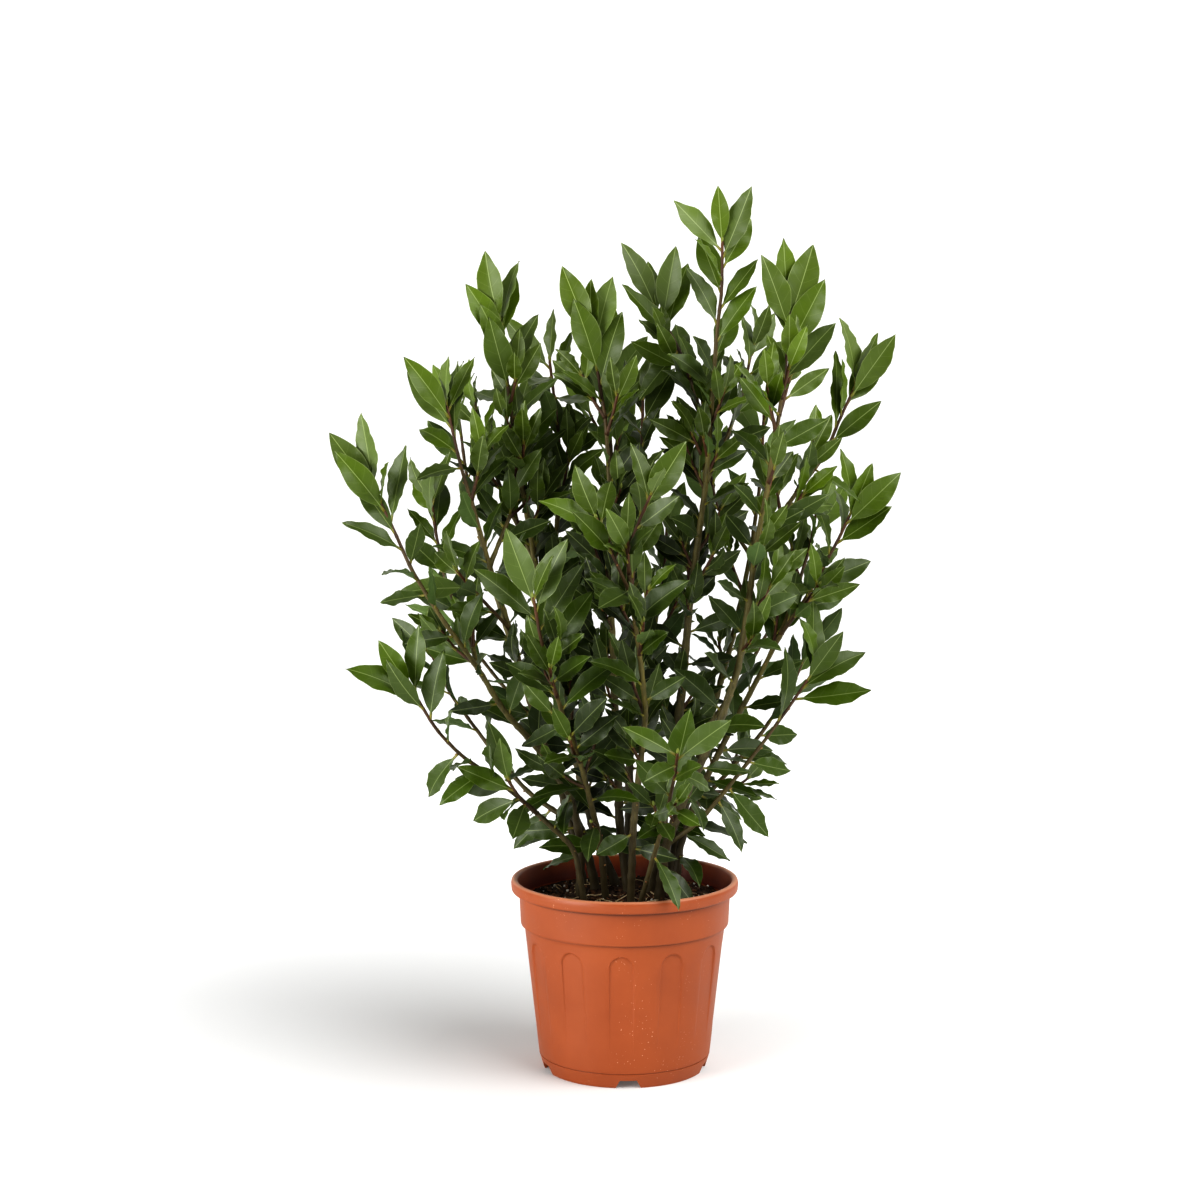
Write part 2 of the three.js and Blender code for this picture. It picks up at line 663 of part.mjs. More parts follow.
// The places along a stem's shoots where leaves grow, each with its own draws of chance.
function leafNodes(wood, stemNumber) {
  const nodes = [];
  wood.axes.forEach(({ axis, spread, start }, shootNumber) => {
    const random = makeRandom(1000 * (stemNumber + 1) + 37 * shootNumber);
    const phase = 360 * random();
    let fromTip = firstNode;
    for (let order = 0; fromTip < axis.length - start; order++) {
      const chance = {};
      for (const what of ['turn', 'off', 'droop', 'size', 'roll', 'width', 'bow', 'wave']) {
        chance[what] = random();
      }
      const seat = axis.at(fromTip);
      const every = seat.point.z < lowWood ? lowNodes : sparseNodes;
      const grows = order < fullNodes || (order - fullNodes) % every === 1;
      if (grows && seat.point.z > lowestLeaf) {
        nodes.push({ stemNumber, order, fromTip, phase, seat, chance, target: spread[order] });
      }
      fromTip += Math.min(closestNodes + nodeGrowth * order, widestNodes);
    }
  });
  return nodes;
}

// Leaves are set from the tips down, all stems together, so that the outermost come first.
function placeLeaves(woods, fixed) {
  const placed = woods.map(() => []);
  const nodes = woods.flatMap(leafNodes).sort((a, b) => a.order - b.order);
  for (const node of nodes) {
    for (const leaf of leafChoices(node, node.seat, node.target, node.chance)) {
      const { whole, blade } = leafSolids(leaf);
      const box = whole.boundingBox();
      const own = placed[node.stemNumber];
      const clear = fixed.every((thing) => isClear(whole, box, thing.solid, thing.box, gapToOthers))
        && woods.every((wood, i) => (i === node.stemNumber
          ? isClear(blade, box, wood.solid, wood.box, gapToOwn)
          : isClear(whole, box, wood.solid, wood.box, gapToOthers)))
        && own.every((other) => isClear(blade, box, other.blade, other.box, gapToOwn))
        && placed.every((leaves) => leaves === own || leaves.every(
          (other) => isClear(whole, box, other.whole, other.box, gapToOthers)));
      if (!clear) continue;
      own.push({ whole, blade, box });
      break;
    }
  }
  return placed;
}

// ---------------------------------------------------------------- the object

const potColour = 0xbe5e33;
const soilColour = 0x2a1e17;
const leafColours = [0x49682a, 0x56762f, 0x3f5d26, 0x62813a];

function addMesh(group, name, solid, colour, roughness) {
  const material = new THREE.MeshStandardMaterial({ color: colour, roughness, metalness: 0 });
  const mesh = new THREE.Mesh(toGeometry(solid), material);
  mesh.name = name;
  group.add(mesh);
}

function buildLaurel() {
  const group = new THREE.Group();
  const woods = stems.map(makeWood);
  const pot = makePot();
  const soil = makeSoil(woods);
  const fixed = [pot, soil].map((solid) => ({ solid, box: solid.boundingBox() }));
  const leaves = placeLeaves(woods, fixed);
  addMesh(group, 'pot', pot, potColour, 0.55);
  addMesh(group, 'soil', soil, soilColour, 0.95);
  woods.forEach((wood, i) => {
    const stem = leaves[i].reduce((joined, leaf) => joined.add(leaf.whole), wood.solid);
    const name = `leafy_stem_${String(i + 1).padStart(2, '0')}`;
    addMesh(group, name, outerSkin(stem), leafColours[i % leafColours.length], 0.4);
  });
  return group;
}

const group = buildLaurel();

export default group;
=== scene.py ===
"""Bay laurel in a terracotta-coloured nursery pot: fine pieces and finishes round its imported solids.

Lengths in the rules are millimetres, as on a maker's drawing, and every mesh is in metres, +Z up, with
its origin on the floor on the pot's axis. The plant's best side faces -Y.
"""

import math

import bpy
import numpy as np
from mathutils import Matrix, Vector, noise
from mathutils.kdtree import KDTree


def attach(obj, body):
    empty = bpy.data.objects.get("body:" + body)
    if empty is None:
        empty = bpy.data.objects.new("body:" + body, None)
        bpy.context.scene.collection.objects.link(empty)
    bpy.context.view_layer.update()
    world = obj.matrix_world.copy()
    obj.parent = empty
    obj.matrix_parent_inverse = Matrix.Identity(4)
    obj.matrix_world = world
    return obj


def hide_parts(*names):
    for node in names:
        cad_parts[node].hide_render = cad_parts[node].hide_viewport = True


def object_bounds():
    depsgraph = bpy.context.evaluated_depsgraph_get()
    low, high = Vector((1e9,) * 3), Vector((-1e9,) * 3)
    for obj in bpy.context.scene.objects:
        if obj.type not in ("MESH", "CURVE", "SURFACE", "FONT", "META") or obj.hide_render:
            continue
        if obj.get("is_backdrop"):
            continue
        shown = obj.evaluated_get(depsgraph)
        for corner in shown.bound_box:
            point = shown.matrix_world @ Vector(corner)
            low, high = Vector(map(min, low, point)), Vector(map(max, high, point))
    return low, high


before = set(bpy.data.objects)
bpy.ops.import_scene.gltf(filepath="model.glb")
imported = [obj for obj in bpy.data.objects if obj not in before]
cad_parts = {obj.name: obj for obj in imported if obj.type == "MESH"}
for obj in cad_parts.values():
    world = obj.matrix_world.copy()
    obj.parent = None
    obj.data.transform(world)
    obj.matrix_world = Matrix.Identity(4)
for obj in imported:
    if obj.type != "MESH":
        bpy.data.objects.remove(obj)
CAD_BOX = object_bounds()

bl_info = {
    "name": "Potted bay laurel",
    "version": (1, 0, 0),
    "blender": (4, 5, 0),
    "location": "3D View > Sidebar > Laurel",
    "description": "Dresses the packed bay laurel with fine leaves, bark, soil and a moulded pot",
    "category": "Add Mesh",
}

MM = 0.001

# ---------------------------------------------------------------- the stems
# foot: where the stem stands in the soil, x and y.
# route: the points its axis passes above the soil.
# spread: where the tips of its topmost leaves show from the front, x and z, from the bud down.
# shoots: side shoots, each (route point it forks from, route, spread).

STEMS = [
    {  # left, high and arching outwards
        "foot": (-48, 12),
        "route": [(-45, 5, 230), (-55, -10, 285), (-80, -24, 330), (-125, -50, 385), (-150, -60, 430),
                  (-185, -70, 480), (-215, -75, 530), (-235, -70, 575), (-255, -70, 615)],
        "spread": [(-265, 690), (-305, 680), (-235, 640), (-303, 660), (-215, 680), (-272, 620),
                   (-282, 580), (-210, 575), (-240, 530), (-250, 495)],
        "shoots": [(4, [(-160, -15, 455), (-188, 25, 510), (-200, 50, 560), (-206, 62, 600)], [])],
    },
    {  # left, low
        "foot": (-42, -34),
        "route": [(-52, -42, 240), (-90, -60, 280), (-125, -80, 315), (-165, -95, 345),
                  (-190, -110, 375), (-215, -115, 420)],
        "spread": [(-245, 465), (-205, 480), (-287, 440), (-235, 450), (-180, 455), (-160, 430),
                   (-170, 400), (-200, 298), (-170, 340)],
        "shoots": [(1, [(-105, -88, 298), (-120, -102, 325)],
                    [(-125, 368), (-138, 380), (-170, 335), (-155, 272)])],
    },
    {  # left of the middle, upright
        "foot": (-30, 34),
        "route": [(-45, 25, 245), (-70, 15, 295), (-100, 0, 390), (-120, -10, 465), (-140, -10, 530),
                  (-155, -10, 585), (-170, -10, 635), (-185, 0, 700)],
        "spread": [(-180, 745), (-155, 745), (-235, 755), (-225, 730), (-180, 757), (-215, 670),
                   (-212, 620), (-285, 628), (-112, 645)],
        "shoots": [(3, [(-138, -35, 488), (-160, -58, 515), (-172, -68, 532)],
                    [(-178, 572), (-195, 545), (-145, 562), (-232, 505)]),
                   (4, [(-118, 30, 585), (-108, 60, 640), (-112, 75, 690)], [])],
    },
    {  # front, left of the middle, leaning towards the front
        "foot": (-20, -12),
        "route": [(-25, -30, 240), (-35, -60, 290), (-45, -85, 335), (-60, -110, 380), (-72, -132, 422),
                  (-83, -158, 468), (-90, -185, 515)],
        "spread": [(-70, 555), (-120, 590), (-65, 585), (-155, 545), (-35, 555), (-80, 505),
                   (-30, 520), (-100, 470), (-35, 455), (-120, 440), (-5, 445), (-105, 352)],
        "shoots": [],
    },
    {  # left of the middle, tall
        "foot": (-8, 56),
        "route": [(-25, 60, 215), (-42, 60, 275), (-62, 57, 365), (-80, 55, 465), (-95, 50, 530),
                  (-110, 43, 620), (-120, 35, 695), (-130, 30, 785)],
        "spread": [(-145, 855), (-110, 845), (-105, 830), (-165, 822), (-155, 800), (-90, 790),
                   (-175, 828), (-160, 710), (-80, 720)],
        "shoots": [(3, [(-75, 80, 530), (-70, 90, 595), (-70, 90, 660), (-80, 85, 745)],
                    [(-75, 797), (-130, 790), (-100, 715), (-55, 775), (-35, 700)]),
                   (4, [(-125, 75, 590), (-150, 100, 650), (-162, 112, 700)], [])],
    },
    {  # middle
        "foot": (4, 22),
        "route": [(-5, 18, 250), (-8, 12, 330), (-12, 6, 420), (-15, 0, 510), (-15, 0, 590),
                  (-20, 0, 680), (-35, 0, 770)],
        "spread": [(-65, 838), (-35, 825), (-10, 835), (-10, 797), (-62, 822), (5, 818), (-65, 730),
                   (15, 720)],
        "shoots": [(3, [(5, 30, 570), (18, 55, 640), (20, 70, 705)], [])],
    },
    {  # front, middle, forking high
        "foot": (6, -32),
        "route": [(8, -60, 265), (16, -90, 350), (20, -105, 390), (14, -122, 445), (5, -138, 510),
                  (0, -150, 555), (10, -155, 580), (25, -160, 615)],
        "spread": [(35, 637), (3, 660), (57, 662), (10, 620), (50, 610), (-10, 600), (25, 580),
                   (20, 530), (-27, 505)],
        "shoots": [(4, [(-12, -158, 548), (-30, -170, 590)],
                    [(-50, 640), (-15, 622), (-85, 605), (-35, 615), (-60, 595)])],
    },
    {  # the tallest, right of the middle, stout
        "foot": (26, 26),
        "route": [(45, 30, 275), (60, 35, 385), (70, 30, 500), (85, 25, 615), (90, 18, 690),
                  (95, 15, 770), (100, 10, 815), (100, 10, 865)],
        "spread": [(95, 920), (50, 905), (130, 920), (135, 888), (70, 862), (77, 872), (137, 845),
                   (135, 815), (55, 700), (120, 722)],
        "shoots": [(3, [(76, 42, 705), (55, 55, 760), (30, 65, 800)],
                    [(-5, 868), (25, 847), (55, 868), (67, 850), (-10, 815), (15, 700)]),
                   (3, [(108, 50, 660), (128, 72, 715), (138, 84, 765)], [])],
    },
    {  # right, high, forking towards the right
        "foot": (36, -12),
        "route": [(42, -28, 240), (65, -50, 305), (92, -76, 368), (112, -92, 430), (120, -100, 485),
                  (128, -101, 550), (140, -98, 615), (152, -92, 690), (160, -85, 750), (162, -80, 790)],
        "spread": [(155, 860), (190, 870), (115, 862), (140, 842), (205, 837), (222, 820), (217, 790),
                   (190, 735), (120, 720), (175, 660)],
        "shoots": [(5, [(168, -48, 600), (205, -20, 645), (222, -10, 685), (240, 0, 720)],
                    [(220, 785), (260, 770), (280, 772), (275, 750), (220, 742), (215, 765),
                     (262, 700), (190, 665), (215, 632)]),
                   (0, [(75, -36, 265), (105, -32, 300), (138, -22, 340), (170, -12, 382),
                        (200, -5, 425)],
                    [(180, 477), (197, 495), (222, 465), (265, 445), (265, 402), (240, 392),
                     (165, 447), (175, 370), (205, 342), (175, 312), (182, 292), (150, 247),
                     (120, 237)])],
    },
    {  # right, arching outwards
        "foot": (54, 10),
        "route": [(58, 14, 230), (78, 20, 285), (115, 25, 360), (140, 30, 405), (165, 30, 455),
                  (190, 30, 490), (225, 30, 555), (240, 30, 588)],
        "spread": [(225, 650), (255, 637), (294, 630), (225, 605), (280, 590), (195, 600), (195, 552),
                   (263, 530)],
        "shoots": [(4, [(185, 5, 485), (200, -20, 512)],
                    [(190, 555), (160, 492), (217, 512), (245, 510), (152, 517)]),
                   (4, [(185, 65, 500), (202, 95, 545), (210, 110, 585)], [])],
    },
    {  # front, low, pointing at the viewer
        "foot": (14, -60),
        "route": [(28, -88, 240), (40, -137, 295), (46, -186, 340), (48, -208, 368)],
        "spread": [(-5, 392), (100, 397), (15, 345), (82, 320), (70, 358), (62, 405)],
        "shoots": [],
    },
    {  # back, left
        "foot": (-44, 58),
        "route": [(-58, 76, 245), (-88, 108, 340), (-125, 138, 435), (-155, 158, 530),
                  (-175, 170, 620), (-185, 175, 700)],
        "spread": [],
        "shoots": [(0, [(-105, 88, 275), (-152, 100, 330), (-190, 110, 380), (-214, 116, 430)], []),
                   (1, [(-135, 150, 385), (-175, 183, 430), (-198, 196, 480)], []),
                   (3, [(-150, 186, 580), (-145, 207, 640)], [])],
    },
    {  # back, middle
        "foot": (4, 80),
        "route": [(6, 98, 260), (8, 126, 370), (0, 145, 470), (-10, 152, 570), (-15, 152, 670),
                  (-15, 150, 755)],
        "spread": [],
        "shoots": [(0, [(-22, 138, 290), (-50, 171, 335), (-68, 196, 395)], []),
                   (1, [(32, 165, 430), (46, 187, 500), (50, 199, 570)], []),
                   (2, [(-40, 182, 530), (-62, 198, 590)], [])],
    },
    {  # back, right
        "foot": (46, 54),
        "route": [(62, 74, 245), (92, 102, 345), (120, 125, 440), (140, 140, 530), (152, 150, 620),
                  (155, 155, 695)],
        "spread": [],
        "shoots": [(0, [(105, 98, 285), (152, 120, 335), (188, 140, 385), (208, 150, 435)], []),
                   (1, [(132, 148, 392), (168, 182, 450), (184, 198, 510)], []),
                   (3, [(105, 176, 580), (92, 192, 645)], [])],
    },
]

# ---------------------------------------------------------------- what the solids fix, in mm and degrees

# the wood, which tapers towards each tip
STEM_FOOT = 140            # height of a stem's foot, deep in the soil
STEM_COLLAR = 181          # height where it leaves the soil
TIP_RADIUS = 1.3
TAPER = 0.0062             # radius gained for each mm from the tip
STOUTEST = 6.2
FORK_CLEAR = 24            # no leaf of a side shoot sits nearer to its fork

# where the leaves sit, counted from a shoot's tip down
FIRST_NODE = 6
CLOSEST_NODES = 6
WIDEST_NODES = 17
NODE_GROWTH = 2            # each gap is longer than the last by this
LEAF_TURN = 144
FULL_NODES = 5             # the solids have this many leaves from the tip down,
SPARSE_NODES = 4           # then one in so many,
LOW_NODES = 3              # and one in so many on the wood
LOW_WOOD = 385             # below this height,
LOWEST_LEAF = 235          # down to here

# how large a leaf is
YOUNG_LEAF = 54
GROWN_LEAF = 66
GROWN_ORDER = 4            # leaves are grown from this one down
LONGEST_LEAF = 80
LEAF_WIDTH_SHARE = 0.34
SIZE_RANGE = (0.86, 1.12)
WIDTH_RANGE = (0.88, 1.12)

# how it points: further off the shoot from the bud down, and low leaves droop
BUD_ANGLE = 18
SPREAD_ANGLE = 24
SPREAD_REACH = 45
OLD_ANGLE = 26
OLD_REACH = 400
DROOP_HEIGHT = 370
DROOP_FULL = 220
DROOP_RANGE = (0.3, 1.1)
TURN_SPREAD = 14
OFF_SPREAD = 9
LEAST_DEPTH = 4            # a leaf whose tip is known runs at least this far to the front or the back
TURNS_TRIED = (0, 22, -22, 45, -45, 70, -70, 100, -100, 140, -140, 180)
SIZES_TRIED = (1, 0.82)

# how its blade lies and bends
FACE_UP = 0.3
FACE_LIGHT = 1.3
LIGHT_SIDE = 0.25
LIGHT_BEHIND = 130
ROLL_SPREAD = 36
TIP_ROLL = 18
FOLD_SHARE = 0.2           # the halves rise from the midrib by this share of their width
WAVE_SHARE = 0.12
BOW_RANGE = (-0.02, 0.11)

# the soil and the pot
SOIL_LEVEL = 177
SOIL_LUMP = 2.2
POT_HEIGHT = 201
RIM_RADIUS = 119.6
FOOT_RADIUS = 85.5
FLUTES = 12
FIRST_FLUTE = -2.4         # the first flute's turn from the front
FLUTE_WIDTH = 26
FLUTE_TOP = 141.5
FLUTE_FADE = 34            # height where a flute has faded out

# ---------------------------------------------------------------- what only the scene has, in mm

# which places between the leaves of the solids have a leaf
LEAFY_FROM = 200           # none below this height,
LEAFY_LOW = 0.25           # this share of the lowest ones, and all of them
LEAFY_RISE = 360           # this far above that,
LEAFY_REACH = 122          # further than this from the pot's axis,
HEART_HEIGHT = 245         # or, above this height,
HEART_REACH = 150          # nearer to the axis than this
LEAFY_FADE = 40            # with the change spread over this distance
HEART_NARROW = 0.5         # the dense heart of the crown has this share of its width
HEART_WIDENS = (290, 430)  # at the first of these heights, and all of it at the second
OUTER_SIDE = 130           # further than this to either side the grown wood keeps
OUTER_KEPT = 0.66          # only this share of its leaves
INNER_LEAF = 0.9           # size of these leaves, against those of the solids
BARE_SEED = (104729, 977)

# where leaves of the tallest shoot end, seen from the front, by stem, shoot and order
TALL_AIMS = {(7, 0, 7): (62, 838), (7, 0, 8): (136, 818), (7, 0, 9): (114, 792)}

# short side twigs, in the axils of the grown wood
TWIG_SEED = (50021, 613)
TWIG_ORDER = 7             # none nearer to a shoot's tip than this leaf,
TWIG_HEIGHTS = (265, 740)  # nor outside these heights
TWIG_HALF = (13, 30)       # half a twig's length
TWIG_START = 9             # how far from its axil its lowest leaf sits
TWIG_LEAF = 0.85           # size of its leaves, against a shoot's
TWIG_FOLLOW = 0.5          # how much it follows its shoot
TWIG_RISE = (0.4, 0.6)     # how much it rises, at most from its axil and then to its tip
TWIG_RATES = (0.7, 2.2)    # how often a twig grows, against the usual,
TWIG_RATED = (480, 680)    # at these heights,
HEART_RATE = 1.7           # and in the heart of the crown,
HEART_SIDE = 105           # this near to the middle, from side to side,
HEART_TOP = 600            # and below this height
SKIRT_RATE = 0.5           # fewer grow at the crown's lower sides,
SKIRT_SIDE = 73.5          # further out than this
SKIRT_TOP = 400            # and below this height

# the room that a blade needs
BOX_SLACK = 2              # it may stand out of the solids' box by this
SOIL_CLEAR = 5             # it stays this high over the soil,
SOIL_BESIDE = 6            # also this far out past the rim
RIM_CLEAR = 4              # and this far off the pot's wall,
WALL_INSIDE = 98           # which stands further out than this
GAP_WANTED = 5.5           # it takes the first way to sit that clears the others by this,
TIP_GAP = 3.0              # or by this where its tip is known,
GAP_LEAST = 2.0            # and is left out where none clears them by this
SAMPLE_SHARES = (0.3, 0.45, 0.6, 0.75, 0.9)
SAMPLE_HALF = 0.7          # these points lie this far out to the edge
SAME_TIP = 0.05            # a tip this near to a corner of the solids is theirs

# age, tone and painted shade of a leaf
YOUNG_REACH = 60           # leaves are young this near to their shoot's tip,
YOUNG_LOW = 0.35           # but those of low shoots by this share only,
AGE_HEIGHTS = (380, 730)   # which end below the first of these heights; fully young from the second up
OLDEST = 1.05              # age of an old leaf,
YOUNGER = 0.85             # what being young takes from it,
HIGHER = 0.15              # and what being high up does
CROWN_WIDTHS = (150, 270)  # the crown's radius
CROWN_WIDENS = (200, 500)  # at these heights
CROWN_CLOSES = (960, 700)  # it narrows from the second of these heights, to nothing at the first,
CROWN_LEAST = 60           # and counts as no narrower than this
SHADE_FULL = 1.15          # shade on the crown's axis
SHADE_FALL = 1.35          # and how much of it is gone at its surface
SHADE_HEIGHTS = (780, 580)  # none above the first of these heights, all of it below the second
SHADE_TONE = 1.15          # how much darker the deepest shade makes a leaf
TONE_SEED = (7919, 131)

# ---------------------------------------------------------------- colour, nodes and meshes


def linear(hex_colour):
    """An sRGB hex colour as linear red, green and blue."""
    shares = [int(hex_colour[i:i + 2], 16) / 255 for i in (1, 3, 5)]
    return tuple(c / 12.92 if c <= 0.04045 else ((c + 0.055) / 1.055) ** 2.4 for c in shares)


def every(size):
    """The scale of a pattern that repeats about once in so many mm."""
    return 1 / (size * MM)


def add(tree, kind, inputs=None, stops=(), **settings):
    """Adds a shader node: its settings, its colour stops, and its inputs by name or number.

    An input takes a value, a socket, or a node, whose first output in use it is linked to. A mix's two
    colours are inputs 6 and 7. A map range takes its value from inputs 1 to 2 to inputs 3 to 4.
    """
    node = tree.nodes.new("ShaderNode" + kind)
    for name, value in settings.items():
        setattr(node, name, value)
    for i, (place, colour) in enumerate(stops):
        elements = node.color_ramp.elements
        element = elements[i] if i < 2 else elements.new(place)
        element.position = place
        element.color = (*colour, 1)
    for name, value in (inputs or {}).items():
        socket = node.inputs[name]
        if isinstance(value, bpy.types.Node):
            value = next(output for output in value.outputs if output.enabled)
        if isinstance(value, bpy.types.NodeSocket):
            tree.links.new(value, socket)
        else:
            socket.default_value = (*value, 1) if socket.type == "RGBA" else value
    return node


def new_material(name):
    """An empty node material and its tree."""
    material = bpy.data.materials.new(name)
    material.use_nodes = True
    material.node_tree.nodes.clear()
    return material, material.node_tree


class Skin:
    """Gathers points in mm, faces and point attributes of one piece, and makes its mesh in metres."""

    def __init__(self):
        self.points = []
        self.faces = []
        self.sharp = []
        self.notes = {}
        self.count = 0

    def add(self, points, faces, sharp=(), **notes):
        """Adds a closed form. Notes are point attributes, one row for each point."""
        self.points.append(np.asarray(points, float))
        self.faces.extend([tuple(self.count + i for i in face) for face in faces])
        self.sharp.extend([(self.count + a, self.count + b) for a, b in sharp])
        for name, rows in notes.items():
            self.notes.setdefault(name, []).append(rows)
        self.count += len(points)

    def piece(self, name, material, smooth=True):
        """Makes the object, smooth-shaded but for its sharp edges."""
        mesh = bpy.data.meshes.new(name)
        points = np.concatenate(self.points) * MM
        mesh.from_pydata(points.tolist(), [], self.faces)
        mesh.update()
        mesh.polygons.foreach_set("use_smooth", [smooth] * len(mesh.polygons))
        for note, rows in self.notes.items():
            attribute = mesh.attributes.new(note, "FLOAT_VECTOR", "POINT")
            attribute.data.foreach_set("vector", np.concatenate(rows).astype(np.float32).ravel())
        if self.sharp:
            wanted = {tuple(sorted(pair)) for pair in self.sharp}
            flags = [tuple(sorted(edge.vertices)) in wanted for edge in mesh.edges]
            mesh.attributes.new("sharp_edge", "BOOLEAN", "EDGE").data.foreach_set("value", flags)
        mesh.materials.append(material)
        obj = bpy.data.objects.new(name, mesh)
        bpy.context.scene.collection.objects.link(obj)
        return obj


def seat_piece(obj, slot, *nodes):
    """The piece rides on the row's body and stands for these nodes; the slot is not used."""
    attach(obj, "root")
    if nodes:
        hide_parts(*nodes)


def grid_faces(rows, columns, wrap=True):
    """Quads over rows of points, joined round where wrap is set."""
    last = columns if wrap else columns - 1
    return [(i * columns + j, i * columns + (j + 1) % columns,
             (i + 1) * columns + (j + 1) % columns, (i + 1) * columns + j)
            for i in range(rows - 1) for j in range(last)]


def ring(radius, z, sides):
    """Points round the pot's axis."""
    turns = [2 * math.pi * j / sides for j in range(sides)]
    return [(radius * math.cos(turn), radius * math.sin(turn), z) for turn in turns]


# ---------------------------------------------------------------- chance and vectors

WORD = 0xFFFFFFFF


def make_random(seed):
    """The same sequence of numbers from 0 to 1 for the same seed, as the solids were grown by."""
    state = seed & WORD

    def draw():
        nonlocal state
        state = (state + 0x6D2B79F5) & WORD
        mixed = ((state ^ (state >> 15)) * (state | 1)) & WORD
        mixed ^= (mixed + (mixed ^ (mixed >> 7)) * (mixed | 61)) & WORD
        return (mixed ^ (mixed >> 14)) / (WORD + 1)

    return draw


def own_chance(node, by_stem, by_shoot):
    """A draw of one leaf's own, whichever other leaves grow."""
    return make_random(by_stem * (node["stem"] + 1) + by_shoot * node["shoot"] + node["order"])()


def mix(low, high, share):
    return low + (high - low) * share


def clamp(value, low=0.0, high=1.0):
    return min(max(value, low), high)


def ramp(value, start, end):
    """How far a value has come from start to end, from 0 to 1."""
    return clamp((value - start) / (end - start))


def cross(a, b):
    return np.array([a[1] * b[2] - a[2] * b[1], a[2] * b[0] - a[0] * b[2], a[0] * b[1] - a[1] * b[0]])


def unit(v):
    return v / math.sqrt(v @ v)


def rising(v, share):
    """v with a share of straight up added."""
    return v + np.array([0, 0, share])


def turned(v, axis, angle):
    """v turned about axis, in degrees."""
    c, s = math.cos(math.radians(angle)), math.sin(math.radians(angle))
    return v * c + cross(axis, v) * s + axis * (axis @ v) * (1 - c)


def square_across(tangent, across=(1.0, 0.0, 0.0)):
    """A direction square to the tangent, as near to across as it can be."""
    across = np.array(across, float)
    return unit(across - tangent * (across @ tangent))


# ---------------------------------------------------------------- how the laurel grows


class Axis:
    """A shoot's axis: straight runs between its points, measured from the tip down."""

    def __init__(self, points):
        self.points = [np.array(p, float) for p in points]
        self.from_tip = self.points[::-1]
        self.lengths = [0.0]
        for a, b in zip(self.from_tip, self.from_tip[1:]):
            self.lengths.append(self.lengths[-1] + float(np.linalg.norm(b - a)))
        self.length = self.lengths[-1]

    def at(self, distance):
        """Point and tangent, towards the tip, at a distance from the tip."""
        i = 1
        while i < len(self.lengths) - 1 and self.lengths[i] < distance:
            i += 1
        a, b = self.from_tip[i - 1], self.from_tip[i]
        share = (distance - self.lengths[i - 1]) / (self.lengths[i] - self.lengths[i - 1])
        return a + (b - a) * share, unit(a - b)


def wood_radius(from_tip):
    return min(TIP_RADIUS + TAPER * from_tip, STOUTEST)


def stem_axes(stem):
    """The stem's own axis and its side shoots', each with its spread and where its leaves start."""
    x, y = stem["foot"]
    low = [(x, y, STEM_FOOT), (x, y, STEM_COLLAR)]
    axes = [(Axis(low + stem["route"]), stem["spread"], 0)]
    for fork, route, spread in stem["shoots"]:
        axes.append((Axis([stem["route"][fork]] + route), spread, FORK_CLEAR))
    return axes


def heart_width(height):
    """How wide the dense heart of the crown is at a height, as a share of its greatest width."""
    return mix(HEART_NARROW, 1, ramp(height, *HEART_WIDENS))


def twig_rate(x, height):
    """How often a twig grows at a place, against the usual."""
    rate = mix(*TWIG_RATES, ramp(height, *TWIG_RATED))
    if abs(x) < HEART_SIDE * heart_width(height) and height < HEART_TOP:
        rate = HEART_RATE
    if abs(x) > OUTER_SIDE:
        rate *= OUTER_KEPT
    if height < SKIRT_TOP and abs(x) > SKIRT_SIDE:
        rate *= SKIRT_RATE
    return rate


def side_twigs(number, axes, share):
    """Short leafy twigs from the leaf axils of the grown wood, a share of the axils having one."""
    draw = make_random(TWIG_SEED[0] + TWIG_SEED[1] * number)
    lowest, highest = TWIG_HEIGHTS
    twigs = []
    for node in leaf_nodes(number, axes):
        chosen, size, rise = draw(), draw(), draw()
        x, _, height = node["point"]
        if chosen > share * twig_rate(x, height) or node["order"] < TWIG_ORDER:
            continue
        if lowest < height < highest:
            way = unit(rising(ruled_aim(node) + node["tangent"] * TWIG_FOLLOW, TWIG_RISE[0] * rise))
            half = mix(*TWIG_HALF, size)
            middle = node["point"] + way * half
            tip = middle + unit(rising(way, TWIG_RISE[1])) * half
            twigs.append((Axis([node["point"], middle, tip]), (), TWIG_START))
    return twigs


CHANCES = ("turn", "off", "droop", "size", "roll", "width", "bow", "wave")
NODE_SEED = (1000, 37)


def leaf_nodes(stem_number, axes, first_twig=None):
    """The places along a stem's shoots where leaves grow, each with its own draws of chance."""
    nodes = []
    for shoot_number, (axis, spread, start) in enumerate(axes):
        draw = make_random(NODE_SEED[0] * (stem_number + 1) + NODE_SEED[1] * shoot_number)
        phase = 360 * draw()
        small = first_twig is not None and shoot_number >= first_twig
        from_tip, order = FIRST_NODE, 0
        while from_tip < axis.length - start:
            chance = {what: draw() for what in CHANCES}
            point, tangent = axis.at(from_tip)
            every_nth = LOW_NODES if point[2] < LOW_WOOD else SPARSE_NODES
            full = order < FULL_NODES or (order - FULL_NODES) % every_nth == 1
            solid = full and point[2] > LOWEST_LEAF and not small
            target = spread[order] if order < len(spread) else None
            if not solid:
                target = TALL_AIMS.get((stem_number, shoot_number, order), target)
            nodes.append({
                "stem": stem_number, "shoot": shoot_number, "order": order, "from_tip": from_tip,
                "phase": phase, "point": point, "tangent": tangent, "chance": chance,
                "solid": solid, "small": small, "target": target,
            })
            from_tip += min(CLOSEST_NODES + NODE_GROWTH * order, WIDEST_NODES)
            order += 1
    return nodes


